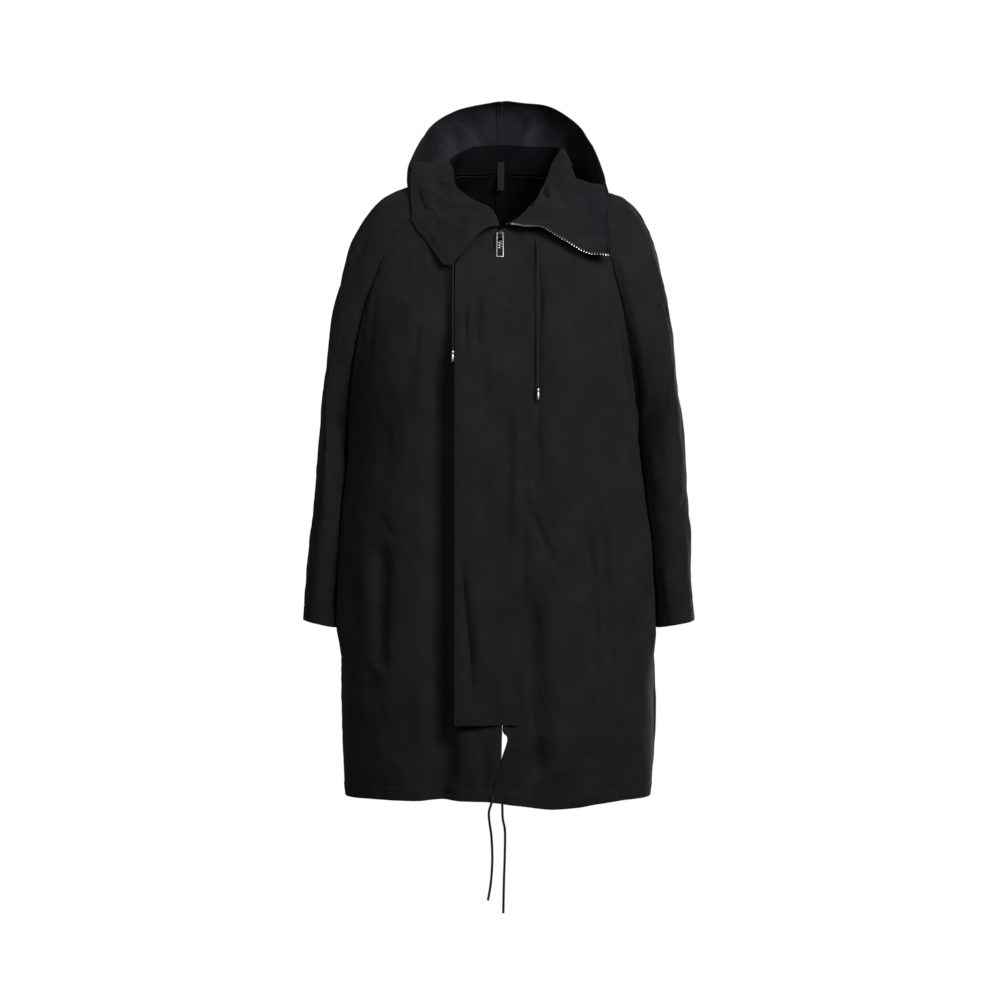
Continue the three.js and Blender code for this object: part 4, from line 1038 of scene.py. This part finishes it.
# Every second row: all down a seam, above the underarm, below it, and down to the vent.
ALL, TOP = slice(0, None, 2), slice(0, UNDERARM_ROW + 1, 2)
LOW, VENT = slice(UNDERARM_ROW, None, 2), slice(0, 160, 2)
for one, edge, other, far_edge, rows in (
    *[(f"sleeve_{word}_front", 0, f"sleeve_{word}_back", 0, ALL) for word in SIDES],
    *[(f"sleeve_{word}_front", -1, f"sleeve_{word}_back", -1, LOW) for word in SIDES],
    *[(f"{half}_{word}", -1, f"sleeve_{word}_{half}", -1, TOP) for word in SIDES for half in HALVES],
    *[(f"front_{word}", -1, f"back_{word}", -1, LOW) for word in SIDES],
    ("back_left", 0, "back_right", 0, VENT), ("hood_left", 0, "hood_right", 0, ALL),
):
    halves = []
    for name, side in ((one, edge), (other, far_edge)):
        part = coat[name]
        near = range(STITCH_AT + 1) if side == 0 else range(-1, -STITCH_AT - 2, -1)
        halves.append([part["inner"][rows, k] - part["face"][rows, k] * BAND["lift"] for k in near])
    grid = np.stack(halves[0][::-1] + halves[1], 1)
    middle = len(grid) // 2
    facing = np.dot(normals(grid, 1)[middle, STITCH_AT], coat[one]["face"][rows, edge][middle])
    place = f"{one}_{'lower' if rows is LOW else 'upper'}"
    # The bands carry painted shade: the inside's, or in the hood the lining's.
    look = LINING_LOOK if "hood" in one else INSIDE_PAINTED_SHADE_LOOK
    shell(f"band_{place}_{edge % 2}", grid, 1 if facing > 0 else -1, [look], thick=BAND["thick"])

# Collar: a high band of shell cloth, faced with the same, standing up from the neckline and rolled
# outward all round. Its two ends fall open over the chest; the left one carries half of the zip.
ROLL = 0.36
# How the edge with the zip waves: for each wave its share of the way down, its width and height.
ZIP_WAVES = ((0.39, 0.1, 6.5), (0.78, 0.16, -10))
ZIP_REACH = 55
COLLAR = table(
    "nx ny nz rx ry rz fx fy fz push",
    (6, -101, -70, 9, -108, -68, 177, -136, -117, 14), (28, -96, -63, 26, -96, -59, 175, -128, -104, 12),
    (51, -82, -49, 48, -74, -36, 164, -116, -88, 10), (77, -53, -22, 65, -45, -12, 146, -90, -52, 8),
    (90, -26, 3, 80, -16, 24, 135, -58, -14, 6), (91, -9, 14, 87, 2, 46, 123, -34, 16, 4),
    (90, 9, 27, 96, 16, 64, 117, -8, 40, 2), (87, 37, 30, 98, 40, 76, 122, 36, 42, 0),
    (72, 64, 33, 86, 74, 82, 110, 80, 34, 0), (43, 86, 36, 50, 92, 85, 62, 116, 22, 0),
    (0, 95, 39, 4, 98, 88, 4, 126, 16, 0), (-43, 86, 36, -36, 93, 86, -50, 116, 20, 0),
    (-72, 64, 33, -60, 72, 75, -92, 92, 30, 0), (-87, 37, 30, -74, 40, 59, -124, 48, 44, 2),
    (-90, 9, 28, -78, 6, 38, -142, 4, 46, 4), (-90, -26, 4, -74, -30, 8, -146, -30, 10, 4),
    (-77, -53, -22, -62, -50, -10, -144, -64, -32, 6), (-51, -82, -49, -41, -74, -26, -136, -96, -72, 8),
    (-30, -95, -62, -18, -90, -38, -116, -124, -99, 10), (-15, -99, -67, -5, -99, -54, -92, -146, -134, 14),
    (-5, -101, -70, -1, -107, -71, -80, -150, -138, 14),
)
COLLAR_CREASES = [
    ([(-108, -12), (-96, -40), (-78, -58)], 10, 13, -4.0), ([(-60, -30), (-66, -60), (-60, -92)], 6, 9, -2.2),
    ([(96, 4), (104, -30), (120, -60)], 7, 10, -2.6), ([(60, -66), (90, -76), (130, -88)], 7, 9, 2.4),
    ([(64, 10), (70, -14), (82, -40)], 6, 9, -2.4), ([(-118, -60), (-104, -90), (-92, -120)], 7, 9, 2.2),
    ([(-40, 66), (0, 70), (44, 66)], 5, 7, -1.8),
]


def collar_form(along, t):
    """The collar: up from the neck seam to its roll, then down over it to its free edge."""
    at = lambda name: read(COLLAR, name, along, None)
    neck, roll, fall = (xyz(at(f"{k}x"), at(f"{k}y"), at(f"{k}z")) for k in "nrf")
    size = lambda v: np.linalg.norm(v, axis=-1, keepdims=True)
    away = (fall - roll) * (1, 1, 0)
    away /= size(away)
    rise = size(roll - neck)
    lead = neck * 0.6 + roll * 0.4 - away * rise * 0.08
    up = cubic(neck, lead, roll - away * np.minimum(8, rise * 0.3), roll, np.minimum(t / ROLL, 1))
    push = roll * (1, 1, 0)
    push *= (at("push")[..., None] + 0.001) / size(push)
    reach = np.minimum(size(fall - roll) * 0.35, 40)
    out = cubic(roll, roll + away * reach + push, fall * 0.67 + roll * 0.33 + push, fall,
                np.clip((t - ROLL) / (1 - ROLL), 0, 1))
    return np.where((t < ROLL)[..., None], up, out)


t = np.linspace(0, 1, 120)[:, None]
grid = collar_form(np.linspace(0, len(COLLAR["nx"]) - 1, 320)[None], t)
# Where the roll lies, as shares of the way around the neck and of the way down.
roll_row = round(ROLL * (len(t) - 1))
around, down = lengths(grid, 1)[roll_row], lengths(grid, 0)
rolled = around / around[-1], down[roll_row] / down[-1]
grid = across_rows(even_rows(across_rows(even_rows(grid, 150)), 34))
down = lengths(grid, 0)
share = down / down[-1:]
around = lengths(grid, 1)[len(NEAR_SEAM)]
rolled = np.interp(around / around[-1], *rolled)[None]
wave = sum(height * np.exp(-(((share - at) / width) ** 2)) for at, width, height in ZIP_WAVES)
grid[..., 2] += wave * np.exp(-((lengths(grid, 1) / ZIP_REACH) ** 2))
fallen = (share > rolled + 0.06)[..., None]
grid = np.where(fallen, under.clear(grid, CLOTH["thick"] + 3), grid)
far, to_end, down, to_fall = measured(grid)
ends = np.minimum(far, to_end)
rise = creased(COLLAR_CREASES, grid[..., [0, 2]])
rise += 1.0 * ripples(far, down, 40, 34, 120) + 0.5 * ripples(far, down, 14, 17, 121)
rise *= smooth(down, 4, 26) * smooth(ends, 0, 12) * smooth(to_fall, 0, 12)
rise += 0.6 * seam_relief(ends, down, 122) * smooth(ends, 0, 2)
rise += 0.6 * seam_relief(to_fall, far, 124) * smooth(to_fall, 0, 2)
fall = -1 - STITCH_AT
seams = (fall, np.s_[:, STITCH_AT], np.s_[:, fall])
# The inner face, and the standing part's face below the roll, carry the inside's painted shade.
collar, sewing = sewn("collar", raised(grid, rise, -1), -1, [SHELL_LOOK, INSIDE_PAINTED_SHADE_LOOK], seams, inside=fall)
standing = (share < rolled - 0.03)[:-1, :-1].reshape(-1)
look = np.zeros(len(collar.data.polygons), np.int32)
look[: len(standing)] = standing
collar.data.polygons.foreach_set("material_index", look)

# Label: a bare strip of dark woven ribbon, folded under at both ends and sewn inside the collar.
LABEL = {"left": -4, "width": 11, "top": 58, "bottom": 11, "topY": 90.9, "bottomY": 92.6, "thick": 1.0}
LABEL_TONES = ((0.0040, 0.0044, 0.0048), (0.0090, 0.0096, 0.0102))
LABEL_LOOK = material("label_ribbon", {"Specular IOR Level": 0.3}, woven(LABEL_TONES))
share = np.linspace(0, 1, 40)[:, None]
across = np.linspace(0, 1, 12)[None]
turned = 0.35 * np.exp(-(((share - 0.08) / 0.03) ** 2)) + 0.35 * np.exp(-(((share - 0.92) / 0.03) ** 2))
grid = xyz(
    LABEL["left"] + across * LABEL["width"],
    LABEL["topY"] + share * (LABEL["bottomY"] - LABEL["topY"]) - turned - 0.25 * np.sin(across * math.pi),
    LABEL["top"] + share * (LABEL["bottom"] - LABEL["top"]),
)
label, _, _ = shell("label_ribbon", grid, -1, [LABEL_LOOK], LABEL["thick"])
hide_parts("neck_label")

# Zip: metal teeth clamped on the edge of two woven tapes. It is closed up to the neck behind the
# flap, and its open end runs on along the left edge of the collar.
ZIP = {"width": 7.0, "thick": 0.9, "top": -95, "bottom": -856, "pitch": 4.4}
TOOTH = {"long": 3.5, "wide": 2.0, "high": 1.9, "sunk": 0.6, "back": 2.7}
TAPE = {"gap": 0.3, "width": 5.5, "thick": 0.9, "from": 0.12}
TAPE_LOOK = material("zip_tape_weave", {"Specular IOR Level": 0.15}, woven(SHELL_TONES))


def halved(low, high, over):
    """Where over turns true between low and high, for every point at once."""
    for _ in range(16):
        middle = (low + high) / 2
        past = over(middle)
        high = np.where(past, middle, high)
        low = np.where(past, low, middle)
    return (low + high) / 2


def on_front(x, z):
    """The smooth front of the coat at x and z, without its folds."""
    x, z = np.broadcast_arrays(np.asarray(x, float), np.asarray(z, float))
    found = []
    for side in (1, -1):
        def reach(down):
            past = lambda across: side * front_form(side, down, across)[..., 0] > np.abs(x)
            return halved(np.zeros_like(x), np.full_like(x, 0.9), past)

        below = lambda down: front_form(side, down, reach(down))[..., 2] < z
        down = halved(np.zeros_like(x), np.ones_like(x), below)
        found.append(front_form(side, down, reach(down)))
    return np.where((x < 0)[..., None], found[1], found[0])


def teeth(name, places):
    """Teeth at places: for each, its foot, the way it points, the way it faces and its third axis."""
    rings = [(1.0, 0.0), (1.0, 0.6), (0.62, 1.0)]
    corner = [(0, -0.5), (1, -0.42), (1, 0.42), (0, 0.5)]
    points, faces = [], []
    for foot, ahead, up, side in places:
        base = len(points)
        for scale, height in rings:
            for a, b in corner:
                reach = ahead * (a * scale * TOOTH["long"]) + side * (b * scale * TOOTH["wide"])
                points.append(foot + reach + up * (height * TOOTH["high"]))
        faces += [tuple(base + k for k in face) for face in tube_faces(len(rings), len(corner))]
    return piece(name, points, faces, [METAL_LOOK], crease=30)


levels = np.linspace(ZIP["top"], ZIP["bottom"], 180)[:, None]
centre = on_front(4, levels)
grid = xyz(np.linspace(-0.5, 0.5, 7)[None] * ZIP["width"], centre[..., 1] + ZIP["thick"], levels)
chain, _, _ = shell("zip_chain_tape", grid, -1, [TAPE_LOOK], ZIP["thick"])
x_axis, z_axis, out = np.array([1.0, 0, 0]), np.array([0, 0, 1.0]), np.array([0, -1.0, 0])
places = []
for k, z in enumerate(np.arange(ZIP["top"] - 1.5, ZIP["bottom"] + 1.5, -ZIP["pitch"] / 2)):
    way = 1 if k % 2 else -1
    y = np.interp(-z, -levels[:, 0], centre[:, 0, 1]) + ZIP["thick"] - 0.1
    places.append((np.array([-way * TOOTH["back"], y, z]), way * x_axis, out, z_axis))
teeth("zip_chain_teeth", places)
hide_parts("zip_chain")

part = coat["collar"]["grid"]
share = lengths(part, 0)[:, 0] / lengths(part, 0)[-1, 0]
bare = (share > TAPE["from"]) & (share < 0.99)
edge = part[bare, 0]
beyond = edge - part[bare, 3]
beyond /= np.linalg.norm(beyond, axis=1, keepdims=True)
grid = edge[:, None] + beyond[:, None] * np.linspace(TAPE["gap"], TAPE["width"], 6)[None, :, None]
tape, face, _ = shell("collar_zip_tape", grid, 1, [TAPE_LOOK], TAPE["thick"])
foot, _ = spaced(np.concatenate([grid[:, 2], beyond, face[:, 2]], 1), ZIP["pitch"])
places = [(f[:3] - f[6:9] * TOOTH["sunk"], f[3:6], f[6:9], np.cross(f[6:9], f[3:6])) for f in foot]
teeth("collar_zip_teeth", places)
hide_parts("zip_tape")

# Slider, its bridge and the pull: castings with edges softened by tumbling, the first two lacquered
# black and the pull plated. It is a flat open frame that hangs from the bridge and swings on it.
SOFT_EDGE = 0.28
for node, body, look in (
    ("zip_slider", "coat", LACQUER_LOOK), ("zip_bridge", "coat", LACQUER_LOOK),
    ("zip_pull", "pull", METAL_LOOK),
):
    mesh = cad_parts[node].data.copy()
    cast = bmesh.new()
    cast.from_mesh(mesh)
    bmesh.ops.remove_doubles(cast, verts=cast.verts, dist=1e-6)
    bmesh.ops.dissolve_limit(cast, angle_limit=0.02, verts=cast.verts, edges=cast.edges)
    sharp = [e for e in cast.edges if e.is_manifold and e.calc_face_angle() > 0.3]
    bmesh.ops.bevel(cast, geom=sharp, offset=SOFT_EDGE * MM, segments=2, affect="EDGES", profile=0.6)
    bmesh.ops.triangulate(cast, faces=cast.faces)
    cast.to_mesh(mesh)
    cast.free()
    mesh.materials.clear()
    mesh.materials.append(look)
    made = bpy.data.objects.new(f"{node}_cast", mesh)
    scene.collection.objects.link(made)
    mesh.shade_smooth()
    mesh.set_sharp_from_angle(angle=math.radians(40))
    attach(made, body)
    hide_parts(node)

# Storm flap: a double strip of shell cloth that covers the zip, stitched down along the wearer's
# left and free on the right, where it stands off the coat. Its edges are topstitched.
FLAP = {"top": -112, "bottom": -868, "stitched": 3.0, "free": 13.0, "corner": 26, "slope": 4}
FLAP_EDGE = table(
    "depth free stitched", (100, -71, 55), (400, -72, 52), (545, -72, 40), (740, -72, 38), (870, -72, 27)
)
FLAP_CREASES = [
    ([(-34, -176), (-33, -215), (-35, -276)], 4, 5, -4.4),
    ([(-60, -590), (-55, -680), (-47, -750), (-41, -850)], 4, 7, -5.6),
    ([(-52, -180), (-54, -230), (-52, -290)], 3, 4, -2.6),
    ([(-40, -640), (-34, -720), (-30, -790)], 5, 6, 3.0),
    ([(-24, -278), (-22, -330), (-26, -392)], 10, 13, -3.2),
    ([(27, -330), (28, -420), (25, -520), (27, -610)], 6, 7, 4.0),
    ([(8, -264), (7, -300), (9, -330)], 5, 6, 2.4), ([(-47, -196), (-48, -240), (-46, -300)], 7, 9, 2.4),
    ([(-20, -150), (-14, -166), (-2, -172)], 7, 9, -2.6), ([(6, -190), (16, -196), (24, -206)], 3, 4, -1.8),
    ([(0, -216), (12, -219), (22, -226)], 3, 4, -2.0), ([(-8, -676), (2, -690), (8, -720)], 10, 12, -2.4),
    ([(-30, -560), (0, -566), (24, -560)], 5, 8, -1.4),
    ([(-20, -440), (-22, -520), (-18, -590)], 10, 13, -2.0),
    ([(0, -780), (4, -820), (2, -862)], 8, 11, 2.4), ([(34, -680), (28, -760), (18, -840)], 8, 10, -2.4),
]
share = np.linspace(0, 1, 210)[:, None]
s = np.linspace(0, 1, 64)[None]
z = FLAP["top"] - FLAP["corner"] * np.maximum(0, 1 - s / 0.22) ** 2 + FLAP["slope"] * s
z = z + (FLAP["bottom"] - z) * share
free, stitched = (read(FLAP_EDGE, k, -z, "depth") for k in ("free", "stitched"))
grid = on_front(free + (stitched - free) * s, z)
grid[..., 1] -= FLAP["free"] + (FLAP["stitched"] - FLAP["free"]) * smooth(s, 0, 0.75)
grid = across_rows(even_rows(across_rows(even_rows(grid, 26)), 200))
far, to_sewn, down, to_end = measured(grid)
rise = 1.5 * creased(FLAP_CREASES, grid[..., [0, 2]])
rise += 0.9 * ripples(far, down, 22, 90, 140) + 0.4 * ripples(far, down, 10, 30, 141)
rise *= smooth(far, 0, 10) * smooth(down, 0, 14) * smooth(to_end, 0, 14)
rise += 0.6 * seam_relief(far, down, 142) * smooth(far, 0, 2) + 0.7 * seam_relief(to_sewn, down, 144)
rise += 0.6 * seam_relief(to_end, far, 146) * smooth(to_end, 0, 2)
over_zip = 1 - 0.9 * np.exp(-((grid[..., 0] / 13) ** 2))
rise = np.where(rise < 0, rise * over_zip, rise)
beneath = Covered()
for name in ("front_left", "front_right"):
    beneath.cover(coat[name]["grid"][20:, :30], coat[name]["face"][20:, :30])
grid = beneath.clear(raised(grid, rise, -1), CLOTH["thick"] + 0.4)
seams = (np.s_[:, STITCH_AT], np.s_[:, -1 - STITCH_AT], -1 - STITCH_AT)
flap, sewing = sewn("storm_flap", grid, -1, [SHELL_LOOK], seams)
